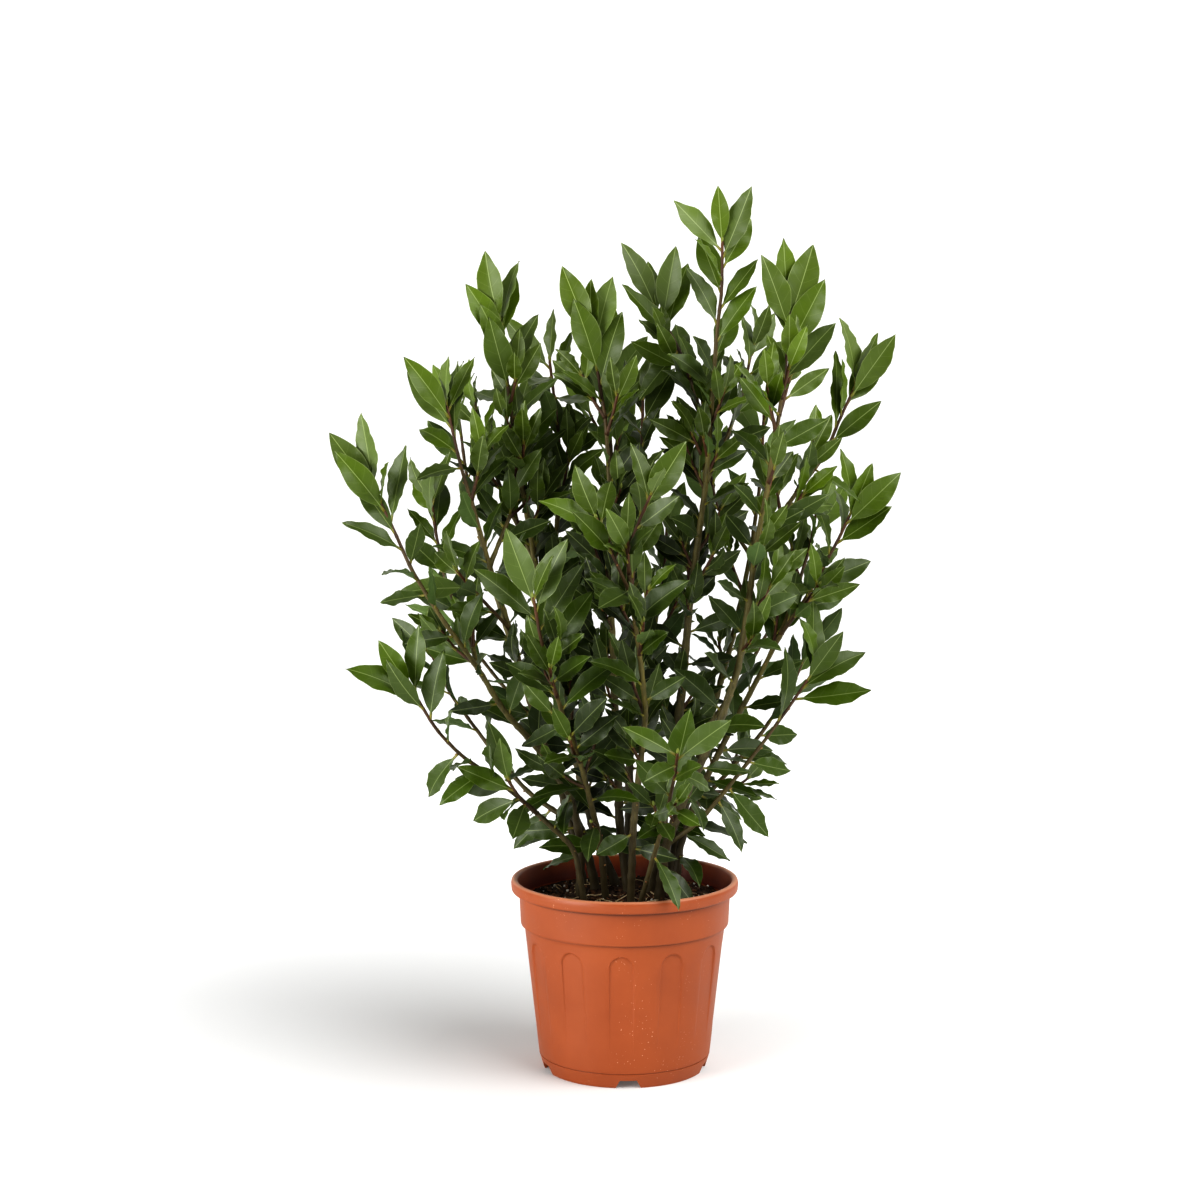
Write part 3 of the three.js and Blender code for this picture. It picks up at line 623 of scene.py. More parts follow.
def ruled_aim(node):
    """How a leaf points by rule: its turn round the shoot, its angle off it, and its droop."""
    point, tangent, chance = node["point"], node["tangent"], node["chance"]
    across = square_across(tangent)
    up = cross(tangent, across)
    turn = math.radians(node["phase"] + LEAF_TURN * node["order"]
                        + mix(-TURN_SPREAD, TURN_SPREAD, chance["turn"]))
    off = math.radians(BUD_ANGLE + SPREAD_ANGLE * (1 - math.exp(-node["from_tip"] / SPREAD_REACH))
                       + OLD_ANGLE * clamp(node["from_tip"] / OLD_REACH)
                       + mix(-OFF_SPREAD, OFF_SPREAD, chance["off"]))
    outwards = across * math.cos(turn) + up * math.sin(turn)
    aim = tangent * math.cos(off) + outwards * math.sin(off)
    aim[2] -= ramp(point[2], DROOP_HEIGHT, DROOP_FULL) * mix(*DROOP_RANGE, chance["droop"])
    return unit(aim)


def spread_aim(node, length):
    """How a leaf points, and its length, when its tip is seen from the front at a known place."""
    x, z = node["target"]
    flat = np.array([x - node["point"][0], 0.0, z - node["point"][2]])
    seen = math.sqrt(flat @ flat)
    deep = max(math.sqrt(max(length * length - seen * seen, 0)), LEAST_DEPTH)
    flat[1] = -deep if node["order"] % 2 == 0 else deep
    return unit(flat), min(max(length, seen), LONGEST_LEAF)


def leaf_choices(node):
    """Every way that one leaf may sit, the best first, as aim and length."""
    grown = clamp(node["order"] / GROWN_ORDER)
    length = mix(YOUNG_LEAF, GROWN_LEAF, grown) * mix(*SIZE_RANGE, node["chance"]["size"])
    if node["small"]:
        length *= TWIG_LEAF
    elif not node["solid"] and not node["target"]:
        length *= INNER_LEAF
    if node["target"]:
        aim, length = spread_aim(node, length)
    else:
        aim = ruled_aim(node)
    for scale in SIZES_TRIED:
        for turn in TURNS_TRIED:
            yield turned(aim, node["tangent"], turn), length * scale


def make_leaf(node, aim, length):
    """A leaf's frame: its upper face looks along the shoot, up and to the light, and rolls a little."""
    point, tangent, chance = node["point"], node["tangent"], node["chance"]
    light = unit(np.array([point[0] * LIGHT_SIDE, point[1] - LIGHT_BEHIND, 0.0]))
    normal = rising(tangent, FACE_UP) + light * FACE_LIGHT
    normal = unit(normal - aim * (normal @ aim))
    roll = TIP_ROLL if node["target"] else ROLL_SPREAD
    normal = turned(normal, aim, mix(-roll, roll, chance["roll"]))
    return {
        "base": point, "tip": point + aim * length, "aim": aim, "normal": normal, "length": length,
        "width": length * LEAF_WIDTH_SHARE * mix(*WIDTH_RANGE, chance["width"]),
        "bow": mix(*BOW_RANGE, chance["bow"]),
        "wave": WAVE_SHARE * (-1 if chance["wave"] < 0.5 else 1),
        "radius": wood_radius(node["from_tip"]), "node": node,
    }


class Crowd:
    """Points on the blades that are already in place, in cells, to keep new blades clear of them."""

    cell = 10.0

    def __init__(self):
        self.cells = {}

    def key(self, point):
        return tuple(int(c // self.cell) for c in point)

    def put(self, points):
        for point in points:
            self.cells.setdefault(self.key(point), []).append(point)

    def nearest(self, points):
        """The least distance from these points to those in place, up to a cell's width."""
        least = self.cell
        for point in points:
            a, b, c = self.key(point)
            for i in (a - 1, a, a + 1):
                for j in (b - 1, b, b + 1):
                    for k in (c - 1, c, c + 1):
                        for other in self.cells.get((i, j, k), ()):
                            gap = other - point
                            least = min(least, math.sqrt(gap @ gap))
        return least


def sample_blade(leaf):
    """Points on a blade's midrib and near its edges."""
    side = unit(cross(leaf["tip"] - leaf["base"], leaf["normal"]))
    points = []
    for share in SAMPLE_SHARES:
        bow = leaf["bow"] * leaf["length"] * 4 * share * (1 - share)
        middle = leaf["base"] + leaf["aim"] * leaf["length"] * share + leaf["normal"] * bow
        half = leaf["width"] / 2 * blade_half(share) * SAMPLE_HALF
        points += [middle - side * half, middle, middle + side * half]
    return points


def has_room(points):
    """Whether every point keeps clear of the pot's wall and the soil, and in the crown's box."""
    for point in points:
        if not all(low / MM - BOX_SLACK < c < high / MM + BOX_SLACK
                   for c, low, high in zip(point, *CAD_BOX)):
            return False
        x, y, z = point
        reach = math.hypot(x, y)
        if z < SOIL_LEVEL + SOIL_CLEAR and reach < RIM_RADIUS + SOIL_BESIDE:
            return False
        if z < POT_HEIGHT + RIM_CLEAR and WALL_INSIDE < reach < RIM_RADIUS + RIM_CLEAR:
            return False
    return True


def grown_nodes(number, share):
    """A stem's axes with its twigs, and all their leaf nodes."""
    axes = stem_axes(STEMS[number])
    twigs = side_twigs(number, axes, share)
    return axes + twigs, leaf_nodes(number, axes + twigs, len(axes))


def solid_corners(number):
    """The corners of one leafy stem of the solids, in mm, to look tips up in."""
    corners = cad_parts[f"leafy_stem_{number + 1:02d}"].data.vertices
    tree = KDTree(len(corners))
    for i, corner in enumerate(corners):
        tree.insert(corner.co / MM, i)
    tree.balance()
    return tree


def solid_leaf(node, corners):
    """The leaf of the solids at a node, just as it sits there, or None where they have none."""
    if not node["solid"]:
        return None
    for aim, length in leaf_choices(node):
        if corners.find(Vector(node["point"] + aim * length))[2] < SAME_TIP:
            return make_leaf(node, aim, length)
    return None


def leaf_kept(node):
    """Whether a place between the leaves of the solids has a leaf."""
    x, y, height = node["point"]
    reach = math.hypot(x, y)
    leafy = max((height - LEAFY_FROM) / LEAFY_RISE, (reach - LEAFY_REACH) / LEAFY_FADE)
    if height > HEART_HEIGHT:
        leafy = max(leafy, (HEART_REACH * heart_width(height) - reach) / LEAFY_FADE)
    kept = mix(LEAFY_LOW, 1, clamp(leafy))
    if abs(x) > OUTER_SIDE and node["order"] > GROWN_ORDER:
        kept *= OUTER_KEPT
    return height >= LEAFY_FROM and own_chance(node, *BARE_SEED) <= kept


def roomiest_leaf(node, crowd):
    """The first way for a leaf to sit that has room enough, else the roomiest, or None."""
    best, room = None, GAP_LEAST
    for aim, length in leaf_choices(node):
        leaf = make_leaf(node, aim, length)
        points = sample_blade(leaf)
        if not has_room(points):
            continue
        gap = crowd.nearest(points)
        if gap > room:
            best, room = leaf, gap
        if gap > (TIP_GAP if node["target"] else GAP_WANTED):
            break
    return best


def shade(leaf, height):
    """How deep in the crown a leaf's middle lies, from 0 at its surface to 1."""
    crown = mix(*CROWN_WIDTHS, ramp(height, *CROWN_WIDENS)) * ramp(height, *CROWN_CLOSES)
    x, y, _ = (leaf["base"] + leaf["tip"]) / 2
    deep = clamp(SHADE_FULL - math.hypot(x, y) / max(crown, CROWN_LEAST) * SHADE_FALL)
    return deep * ramp(height, *SHADE_HEIGHTS)


def grow_leaves(share):
    """Every leaf of the crown: those of the solids just as they sit there, and the rest between."""
    stems = range(len(STEMS))
    corners = [solid_corners(number) for number in stems]
    nodes = [node for number in stems for node in grown_nodes(number, share)[1]]
    nodes.sort(key=lambda node: node["order"])
    crowd, leaves, open_nodes = Crowd(), [], []
    for node in nodes:
        leaf = solid_leaf(node, corners[node["stem"]])
        if leaf:
            crowd.put(sample_blade(leaf))
            leaves.append(leaf)
        else:
            open_nodes.append(node)
    for node in filter(leaf_kept, open_nodes):
        leaf = roomiest_leaf(node, crowd)
        if leaf:
            crowd.put(sample_blade(leaf))
            leaves.append(leaf)
    for leaf in leaves:
        node = leaf["node"]
        height = node["point"][2]
        high = ramp(height, *AGE_HEIGHTS)
        young = math.exp(-node["from_tip"] / YOUNG_REACH) * mix(YOUNG_LOW, 1, high)
        leaf["age"] = clamp(OLDEST - YOUNGER * young - HIGHER * high)
        # painted shade: leaves deep in the crown are coloured the darkest
        leaf["tone"] = own_chance(node, *TONE_SEED) - SHADE_TONE * shade(leaf, height)
    return leaves


# ---------------------------------------------------------------- leaves

BLADE_START = 0.1          # share of a leaf's length where its stalk widens into the blade
BLADE_FULL = 0.12          # and the share after which it is all blade
BLADE_ROWS = np.concatenate([[0, 0.05, 0.09], np.linspace(0.115, 1, 14)])
BLADE_ACROSS = np.array([-1, -0.9, -0.6, -0.28, 0, 0.28, 0.6, 0.9, 1])
STALK_HALF = (0.85, 0.006)  # a stalk's half width in mm, and what it gains for each mm of the leaf
STALK_FLAT = 0.8           # its half thickness, against that
STALK_SUNK = 2.5           # it starts this far off the shoot's axis at most
BLADE_HALF = 0.28          # half a blade's thickness at its middle, in mm
EDGE_THIN = 0.45           # share of it that is lost at the edge
RIB_HIGH = 0.55            # the midrib stands out below by this,
RIB_SUNK = 0.25            # lies sunk by this share of it above,
RIB_WIDE = 0.12            # and is this wide, as a share of the half blade
WAVE_START = 0.34          # where along the blade its coarse wave is highest,
WAVE_HALF = 0.36           # and how far it is from there to its lowest
RIPPLES = (3.2, 5.2)       # fine ripples along an edge


def blade_half(share):
    """Half width of a blade, as a share of its greatest, pointed at both ends."""
    along = clamp((share - BLADE_START) / (1 - BLADE_START))
    return math.sin(math.pi * along ** 0.92) ** 0.92 if 0 < along < 1 else 0.0


def blade_faces():
    """The faces and the sharp edges of a blade: its upper rows of points, and those below them."""
    rows, columns = len(BLADE_ROWS), len(BLADE_ACROSS)

    def above(i, j):
        return i * columns + j

    def below(i, j):
        if j in (0, columns - 1):
            return above(i, j)
        return rows * columns + i * (columns - 2) + j - 1

    def end(i):
        return [above(i, j) for j in range(columns)] + [below(i, j) for j in range(columns - 2, 0, -1)]

    faces = grid_faces(rows, columns, wrap=False)
    faces += [(below(i, j), below(i + 1, j), below(i + 1, j + 1), below(i, j + 1))
              for i in range(rows - 1) for j in range(columns - 1)]
    faces += [tuple(end(0)[::-1]), tuple(end(rows - 1))]
    sharp = [(above(i, j), above(i + 1, j)) for i in range(2, rows - 1) for j in (0, columns - 1)]
    return faces, sharp


BLADE_FACES, BLADE_SHARP = blade_faces()


def add_leaf(skin, leaf, finest):
    """One closed blade with its stalk, folded along the midrib, with a waved edge and a raised rib."""
    chance, normal, rows = leaf["node"]["chance"], leaf["normal"], BLADE_ROWS
    base = leaf["base"] + leaf["aim"] * min(leaf["radius"] * 0.5, STALK_SUNK)
    along = leaf["tip"] - base
    length = math.sqrt(along @ along)
    side = unit(cross(along, normal))
    stalk = STALK_HALF[0] + STALK_HALF[1] * length
    waves = 2 * math.pi * mix(*RIPPLES, chance["turn"])
    half = np.array([leaf["width"] / 2 * blade_half(t) for t in rows])
    half = np.maximum(half, stalk * np.clip((1 - rows) * 12, 0, 1))
    blade = np.clip((rows - BLADE_START) / BLADE_FULL, 0, 1)
    bow = leaf["bow"] * length * 4 * rows * (1 - rows)
    middle = base + along * rows[:, None] + normal * bow[:, None]
    coarse = leaf["wave"] * np.cos(math.pi * (rows - WAVE_START) / WAVE_HALF)
    above, below, marks_above, marks_below = [], [], [], []
    for i, t in enumerate(rows):
        for v in BLADE_ACROSS:
            out = abs(v)
            way, shift = (-1, chance["off"]) if v > 0 else (1, chance["droop"])
            ripple = finest * blade[i] * math.sin(waves * t + 2 * math.pi * shift) * out ** 2.2
            fold = FOLD_SHARE * out ** 1.25 + way * coarse[i] * out ** 1.5
            point = middle[i] + side * (v * half[i]) + normal * (half[i] * blade[i] * fold + ripple)
            thick = mix(stalk * STALK_FLAT, BLADE_HALF, blade[i]) * (1 - EDGE_THIN * v ** 2)
            rib = math.exp(-(v / RIB_WIDE) ** 2) * RIB_HIGH * blade[i] * (1 - t)
            mark = (v * half[i], t * length, out)
            above.append(point + normal * (thick - RIB_SUNK * rib))
            marks_above.append(mark)
            if out < 1:
                below.append(point - normal * (thick + rib))
                marks_below.append(mark)
    tones = [(leaf["age"], leaf["tone"], 0.0)] * len(above) + [(leaf["age"], leaf["tone"], 1.0)] * len(below)
    skin.add(above + below, BLADE_FACES, BLADE_SHARP,
             blade=np.array(marks_above + marks_below), leaf=np.array(tones))


# ---------------------------------------------------------------- wood

BARK_ALONG = 0.11          # unevenness of the bark along the wood, in waves for each mm,
BARK_ROUND = 1.7           # and round it
BARK_ROUGH = 0.16          # as a share of its radius
BARK_STEP = 4.0            # mm between the rings of points
BEND_REACH = 13.0          # a bend is eased over this far either way
NODE_SWELL = (0.16, 2.6)   # share that the wood swells by at a node, and over how many mm
FORK_SWELL = (1.1, 7)      # mm that a side shoot is stouter by at its fork, and over how many mm
OLD_BARK = 420             # bark is old this far from the tip
STEM_SIDES = 10
SHOOT_SIDES = 8
TIP_BUD = {"length": 7.0, "radius": 1.7, "green": 1.0}
BUD_LOWEST = 212           # no axil below this height shows a bud,
BUD_FIRST = 10             # and none nearer to the tip
BUD_LENGTHS = (2.5, 4.5)
BUD_RADIUS = 0.95
BUD_GREEN = (0.0, 0.6)     # from the reddest to the greenest
BUD_LEAN = 0.9             # how far a bud leans from its leaf's direction along the shoot


def rounded_path(points, spacing, reach):
    """Points along the straight runs with their corners eased, and how far each is from the last."""
    points = np.array(points, float)
    lengths = np.cumsum([0] + [np.linalg.norm(b - a) for a, b in zip(points, points[1:])])
    count = max(int(lengths[-1] / spacing), 3)

    def at(distance):
        return np.array([np.interp(distance, lengths, points[:, k]) for k in range(3)])

    path = []
    for s in np.linspace(0, lengths[-1], count + 1):
        room = min(reach, s, lengths[-1] - s)
        path.append(np.mean([at(s + room * k) for k in (-1, -0.6, -0.2, 0.2, 0.6, 1)], axis=0))
    return path, np.linspace(lengths[-1], 0, count + 1)


def tube(skin, path, radii, sides, rough=0.0, seed=0.0, **notes):
    """A closed tube along a path, with uneven bark. Notes have a row for each point of the path."""
    across = np.array([1.0, 0.0, 0.0])
    points, rows = [], len(path)
    for i, point in enumerate(path):
        tangent = unit(path[min(i + 1, rows - 1)] - path[max(i - 1, 0)])
        across = square_across(tangent, across)
        up = cross(tangent, across)
        for j in range(sides):
            angle = 2 * math.pi * j / sides
            way = across * math.cos(angle) + up * math.sin(angle)
            spot = Vector(point * BARK_ALONG + way * BARK_ROUND) + Vector((seed, 0, 0))
            points.append(point + way * radii[i] * (1 + rough * noise.noise(spot)))
    faces = grid_faces(rows, sides)
    faces.append(tuple(range(sides))[::-1])
    faces.append(tuple((rows - 1) * sides + j for j in range(sides)))
    skin.add(points, faces, **{name: np.repeat(np.array(values, float), sides, axis=0)
                               for name, values in notes.items()})


def add_bud(skin, point, way, length, radius, green):
    """A small pointed bud of wrapped scales."""
    shares = (0.0, 0.18, 0.42, 0.68, 0.88, 1.0)
    widths = (0.5, 0.95, 1.0, 0.68, 0.3, 0.06)
    path = [point + way * length * s for s in shares]
    tube(skin, path, [radius * w for w in widths], 7, growth=[(0.0, 1.0, green)] * len(shares))


def add_shoot(skin, axis, number, shoot, seats):
    """One shoot's wood, swollen at its nodes and its fork, with the bud at its tip."""
    path, from_tip = rounded_path(axis.points, BARK_STEP, BEND_REACH)
    radii = []
    for s in from_tip:
        radius = wood_radius(s)
        if len(seats):
            radius *= 1 + NODE_SWELL[0] * math.exp(-(np.abs(seats - s).min() / NODE_SWELL[1]) ** 2)
        if shoot:
            radius += FORK_SWELL[0] * math.exp(-(axis.length - s) / FORK_SWELL[1])
        radii.append(radius)
    radii[-1] *= 0.7
    growth = [(clamp(s / OLD_BARK), 0.0, 0.0) for s in from_tip]
    sides = SHOOT_SIDES if shoot else STEM_SIDES
    tube(skin, path, radii, sides, rough=BARK_ROUGH, seed=number * 3.7 + shoot, growth=growth)
    way = unit(path[-1] - path[-2])
    add_bud(skin, path[-1] - way * 2, way, **TIP_BUD)


def add_side_bud(skin, node):
    """The bud in a leaf's axil."""
    chance, aim = node["chance"], next(leaf_choices(node))[0]
    start = node["point"] + aim * wood_radius(node["from_tip"]) * 0.7
    way = unit(aim + node["tangent"] * BUD_LEAN)
    length, green = mix(*BUD_LENGTHS, chance["size"]), mix(*BUD_GREEN, chance["wave"])
    add_bud(skin, start, way, length, BUD_RADIUS, green)


# ---------------------------------------------------------------- materials


def leaf_material(look):
    """Bay leaf: a leathery evergreen blade, glossy and deep green above, paler and matt below, with a
    pale midrib, side veins and a thin pale margin. Young blades are yellow-green."""
    material, tree = new_material("leathery_bay_leaf")
    blade = add(tree, "Attribute", attribute_name="blade").outputs["Vector"]
    leaf = add(tree, "Attribute", attribute_name="leaf").outputs["Vector"]
    off_rib, along, edgewards = add(tree, "SeparateXYZ", {0: blade}).outputs
    age, tone, below = add(tree, "SeparateXYZ", {0: leaf}).outputs
    out = add(tree, "Math", {0: off_rib}, operation="ABSOLUTE")
    # the upper face by age, then lighter or darker by leaf, in soft patches and by painted shade in the
    # crown
    upper = add(tree, "ValToRGB", {0: age}, stops=[
        (0.0, look.young_leaf), (0.35, look.grown_leaf), (1.0, look.old_leaf)])
    under = add(tree, "Mix", {0: age, 6: look.young_underside, 7: look.old_underside}, data_type="RGBA")
    face = add(tree, "Mix", {0: below, 6: upper, 7: under}, data_type="RGBA")
    place = add(tree, "TexCoord").outputs["Object"]
    patches = add(tree, "TexNoise", {"Vector": place, "Scale": every(22.2), "Detail": 3.0})
    lighter = add(tree, "Math", {0: patches, 1: 0.5, 2: tone}, operation="MULTIPLY_ADD")
    value = add(tree, "MapRange", {0: lighter, 1: -0.8, 2: 1.3, 3: 0.2, 4: 1.34})
    # and some leaves are greyer than others
    pick = add(tree, "Math", {0: tone, 1: 7.3}, operation="MULTIPLY")
    chance = add(tree, "Math", {0: pick}, operation="FRACT")
    greyer = add(tree, "MapRange", {0: chance, 1: 0.0, 2: 0.4, 3: 0.86, 4: 1.06})
    toned = add(tree, "HueSaturation", {"Saturation": greyer, "Value": value, "Color": face})
    # side veins leave the midrib every 13 mm at about 55 degrees, and curve towards the tip
    curve = add(tree, "Math", {0: out, 1: 1.25}, operation="POWER")
    rise = add(tree, "Math", {0: curve, 1: -0.42, 2: along}, operation="MULTIPLY_ADD")
    beat = add(tree, "Math", {0: rise, 1: 6.5}, operation="PINGPONG")
    vein = add(tree, "MapRange", {0: beat, 1: 0.0, 2: 0.45, 3: 1.0, 4: 0.0})
    # between them lies a raised net of finer veins
    net = add(tree, "TexVoronoi", {"Vector": place, "Scale": every(1.43)}, feature="DISTANCE_TO_EDGE")
    mesh = add(tree, "MapRange", {0: net, 1: 0.0, 2: 0.12, 3: 1.0, 4: 0.0})
    rib = add(tree, "MapRange", {0: out, 1: 0.2, 2: 0.5, 3: 1.0, 4: 0.0})
    edge = add(tree, "MapRange", {0: edgewards, 1: 0.93, 2: 1.0, 3: 0.0, 4: 1.0})
    faint = add(tree, "Math", {0: vein, 1: 0.22}, operation="MULTIPLY")
    pale = add(tree, "Math", {0: rib, 1: faint}, operation="MAXIMUM")
    rim = add(tree, "Math", {0: edge, 1: 0.75}, operation="MULTIPLY")
    light = add(tree, "Math", {0: pale, 1: rim}, operation="MAXIMUM")
    clear = add(tree, "MapRange", {0: age, 1: 0.2, 2: 1.0, 3: 0.6, 4: 0.36})
    shown = add(tree, "Math", {0: light, 1: clear}, operation="MULTIPLY")
    veined = add(tree, "Mix", {0: shown, 6: toned, 7: look.leaf_rib}, data_type="RGBA")
    # the stalk ends 4 to 9 mm along the leaf
    stalk = add(tree, "MapRange", {0: along, 1: 4.0, 2: 9.0, 3: 1.0, 4: 0.0})
    colour = add(tree, "Mix", {0: stalk, 6: veined, 7: look.leaf_stalk}, data_type="RGBA")
    relief = add(tree, "Math", {0: mesh, 1: 0.3, 2: faint}, operation="MULTIPLY_ADD")
    bump = add(tree, "Bump", {"Strength": 0.35, "Distance": 0.2 * MM, "Height": relief})
    rough = add(tree, "MapRange", {0: below, 1: 0.0, 2: 1.0, 3: 0.4, 4: 0.62})
    shader = add(tree, "BsdfPrincipled", {"Base Color": colour, "Roughness": rough, "IOR": 1.45,
                                          "Specular IOR Level": 0.45, "Normal": bump})
    add(tree, "OutputMaterial", {"Surface": shader})
    return material


def bark_material(look):
    """Laurel bark: smooth, thin and dull, olive to grey-brown on old wood with pale pores, and
    red-brown to green on young shoots and buds."""
    material, tree = new_material("smooth_laurel_bark")
    growth = add(tree, "Attribute", attribute_name="growth").outputs["Vector"]
    age, is_bud, green = add(tree, "SeparateXYZ", {0: growth}).outputs
    wood = add(tree, "ValToRGB", {0: age}, stops=[
        (0.0, look.young_bark), (0.12, look.shoot_bark), (0.45, look.olive_bark), (1.0, look.old_bark)])
    place = add(tree, "TexCoord").outputs["Object"]
    # streaks 4 mm wide and four times as long
    drawn = add(tree, "VectorMath", {0: place, 1: (1.0, 1.0, 0.25)}, operation="MULTIPLY")
    streaks = add(tree, "TexNoise", {"Vector": drawn, "Scale": every(3.85), "Detail": 4.0})
    streaky = add(tree, "MapRange", {0: streaks, 1: 0.3, 2: 0.7, 3: 0.6, 4: 1.35})
    barked = add(tree, "HueSaturation", {"Value": streaky, "Color": wood})
    # a pore every 3 mm, on old wood only
    pores = add(tree, "TexVoronoi", {"Vector": place, "Scale": every(3.03)})
    pore = add(tree, "MapRange", {0: pores, 1: 0.12, 2: 0.2, 3: 0.5, 4: 0.0})
    older = add(tree, "Math", {0: pore, 1: age}, operation="MULTIPLY")
    dotted = add(tree, "Mix", {0: older, 6: barked, 7: look.bark_pore}, data_type="RGBA")
    # painted shade: the lower wood is coloured darker towards its foot, and browner where its bark flakes
    height = add(tree, "SeparateXYZ", {0: place}).outputs[2]
    flakes = add(tree, "TexNoise", {"Vector": drawn, "Scale": every(11.1), "Detail": 3.0})
    wander = add(tree, "Math", {0: flakes, 1: 110 * MM, 2: height}, operation="MULTIPLY_ADD")
    foot = add(tree, "MapRange", {0: wander, 1: 450 * MM, 2: 270 * MM, 3: 0.0, 4: 0.85})
    flaked_and_shaded = add(tree, "Mix", {0: foot, 6: dotted, 7: look.foot_bark_and_shade}, data_type="RGBA")
    bud = add(tree, "Mix", {0: green, 6: look.red_bud, 7: look.green_bud}, data_type="RGBA")
    colour = add(tree, "Mix", {0: is_bud, 6: flaked_and_shaded, 7: bud}, data_type="RGBA")
    bump = add(tree, "Bump", {"Strength": 0.5, "Distance": 0.5 * MM, "Height": streaks})
    shader = add(tree, "BsdfPrincipled", {"Base Color": colour, "Roughness": 0.62, "IOR": 1.5,
                                          "Normal": bump})
    add(tree, "OutputMaterial", {"Surface": shader})
    return material


# painted shade in the moulding's creases: where it starts, is darkest and ends, mm up, and how dark it is
SHADED_CREASES = ((15.3, 15.7, 16.1, 0.45), (150.4, 153.0, 153.6, 0.4), (184.2, 186.8, 188.4, 0.75))
CREASE_SPAN = 200          # mm that the creases' colour ramp runs over


def pot_material(look):
    """Polypropylene coloured like terracotta, injection-moulded: an even satin skin with a faint
    orange-peel, cloudier where the melt flowed, dulled by handling and spotted by dried splashes."""
    material, tree = new_material("moulded_polypropylene_terracotta")
    coordinates = add(tree, "TexCoord").outputs
    place = coordinates["Object"]
    _, depth, height = add(tree, "SeparateXYZ", {0: place}).outputs
    clouds = add(tree, "TexNoise", {"Vector": place, "Scale": every(71.4), "Detail": 4.0, "Roughness": 0.6})
    base = add(tree, "ValToRGB", {0: clouds}, stops=[(0.3, look.pot_dark), (0.7, look.pot_light)])
    # dried splashes: spots up to 1.2 mm across, in drifts down the wall, thickest on the front
    spots = add(tree, "TexVoronoi", {"Vector": place, "Scale": every(3.03)})
    size = add(tree, "Math", {0: spots.outputs["Color"], 1: 0.19}, operation="MULTIPLY")
    spot = add(tree, "Math", {0: spots, 1: size}, operation="LESS_THAN")
    down = add(tree, "VectorMath", {0: place, 1: (1.0, 1.0, 0.35)}, operation="MULTIPLY")
    drift = add(tree, "TexNoise", {"Vector": down, "Scale": every(29.4), "Detail": 2.0})
    thick = add(tree, "MapRange", {0: drift, 1: 0.49, 2: 0.58, 3: 0.0, 4: 1.0})
    front = add(tree, "MapRange", {0: depth, 1: -40 * MM, 2: -100 * MM, 3: 0.15, 4: 1.0})
    splash = add(tree, "Math", {0: thick, 1: front}, operation="MULTIPLY")
    seen = add(tree, "Math", {0: splash, 1: spot}, operation="MULTIPLY")
    soft = add(tree, "Math", {0: seen, 1: 0.7}, operation="MULTIPLY")
    splashed = add(tree, "Mix", {0: soft, 6: base, 7: look.splash}, data_type="RGBA")
    # soil dust and painted shade on the inner wall above the soil
    far = add(tree, "VectorMath", {0: place, 1: (1.0, 1.0, 0.0)}, operation="MULTIPLY")
    outwards = add(tree, "VectorMath", {0: far}, operation="NORMALIZE")
    faces = add(tree, "VectorMath", {0: coordinates["Normal"], 1: outwards}, operation="DOT_PRODUCT")
    inside = add(tree, "MapRange", {0: faces, 1: -0.2, 2: -0.7, 3: 0.0, 4: 1.0})
    thinning = add(tree, "MapRange", {0: height, 1: 184 * MM, 2: 197 * MM, 3: 1.0, 4: 0.0})
    above = add(tree, "Math", {0: height, 1: 178.5 * MM}, operation="GREATER_THAN")
    dust_and_shade = add(tree, "Math", {0: inside, 1: thinning}, operation="MULTIPLY")
    dusty_and_shaded = add(tree, "Math", {0: dust_and_shade, 1: above}, operation="MULTIPLY")
    colour = add(tree, "Mix", {0: dusty_and_shaded, 6: splashed, 7: look.pot_inside}, data_type="RGBA")
    # a painted highlight lightens the rim's top edge
    top = add(tree, "MapRange", {0: height, 1: 198.5 * MM, 2: 200.5 * MM, 3: 0.0, 4: 0.35})
    rim_highlighted = add(tree, "Mix", {0: top, 6: colour, 7: look.splash}, data_type="RGBA")
    # a thin line of painted shade in the creases: over the foot band, under the collar and under the lip
    span = add(tree, "Math", {0: height, 1: every(CREASE_SPAN)}, operation="MULTIPLY")
    clean = (0.0, 0.0, 0.0)
    stops = [(0.0, clean)]
    for start, darkest, end, strength in SHADED_CREASES:
        stops += [(start / CREASE_SPAN, clean), (darkest / CREASE_SPAN, (strength,) * 3),
                  (end / CREASE_SPAN, clean)]
    lines = add(tree, "ValToRGB", {0: span}, stops=stops + [(1.0, clean)])
    outer = add(tree, "Math", {0: 1.0, 1: inside}, operation="SUBTRACT")
    crease = add(tree, "Math", {0: lines, 1: outer}, operation="MULTIPLY")
    crease_shaded = add(tree, "Mix", {0: crease, 6: rim_highlighted, 7: look.crease_shade}, data_type="RGBA")
    # orange-peel about 0.7 mm across, and faint upright flow lines
    peel = add(tree, "TexNoise", {"Vector": place, "Scale": every(0.714), "Detail": 2.0})
    drawn = add(tree, "VectorMath", {0: place, 1: (1.0, 1.0, 0.06)}, operation="MULTIPLY")
    flow = add(tree, "TexNoise", {"Vector": drawn, "Scale": every(6.25), "Detail": 3.0})
    relief = add(tree, "Math", {0: flow, 1: 0.6, 2: peel}, operation="MULTIPLY_ADD")
    bump = add(tree, "Bump", {"Strength": 0.22, "Distance": 0.3 * MM, "Height": relief})
    worn = add(tree, "MapRange", {0: clouds, 1: 0.3, 2: 0.7, 3: 0.4, 4: 0.56})
    shader = add(tree, "BsdfPrincipled", {"Base Color": crease_shaded, "Roughness": worn, "IOR": 1.49,
                                          "Specular IOR Level": 0.5, "Normal": bump})
    add(tree, "OutputMaterial", {"Surface": shader})
    return material


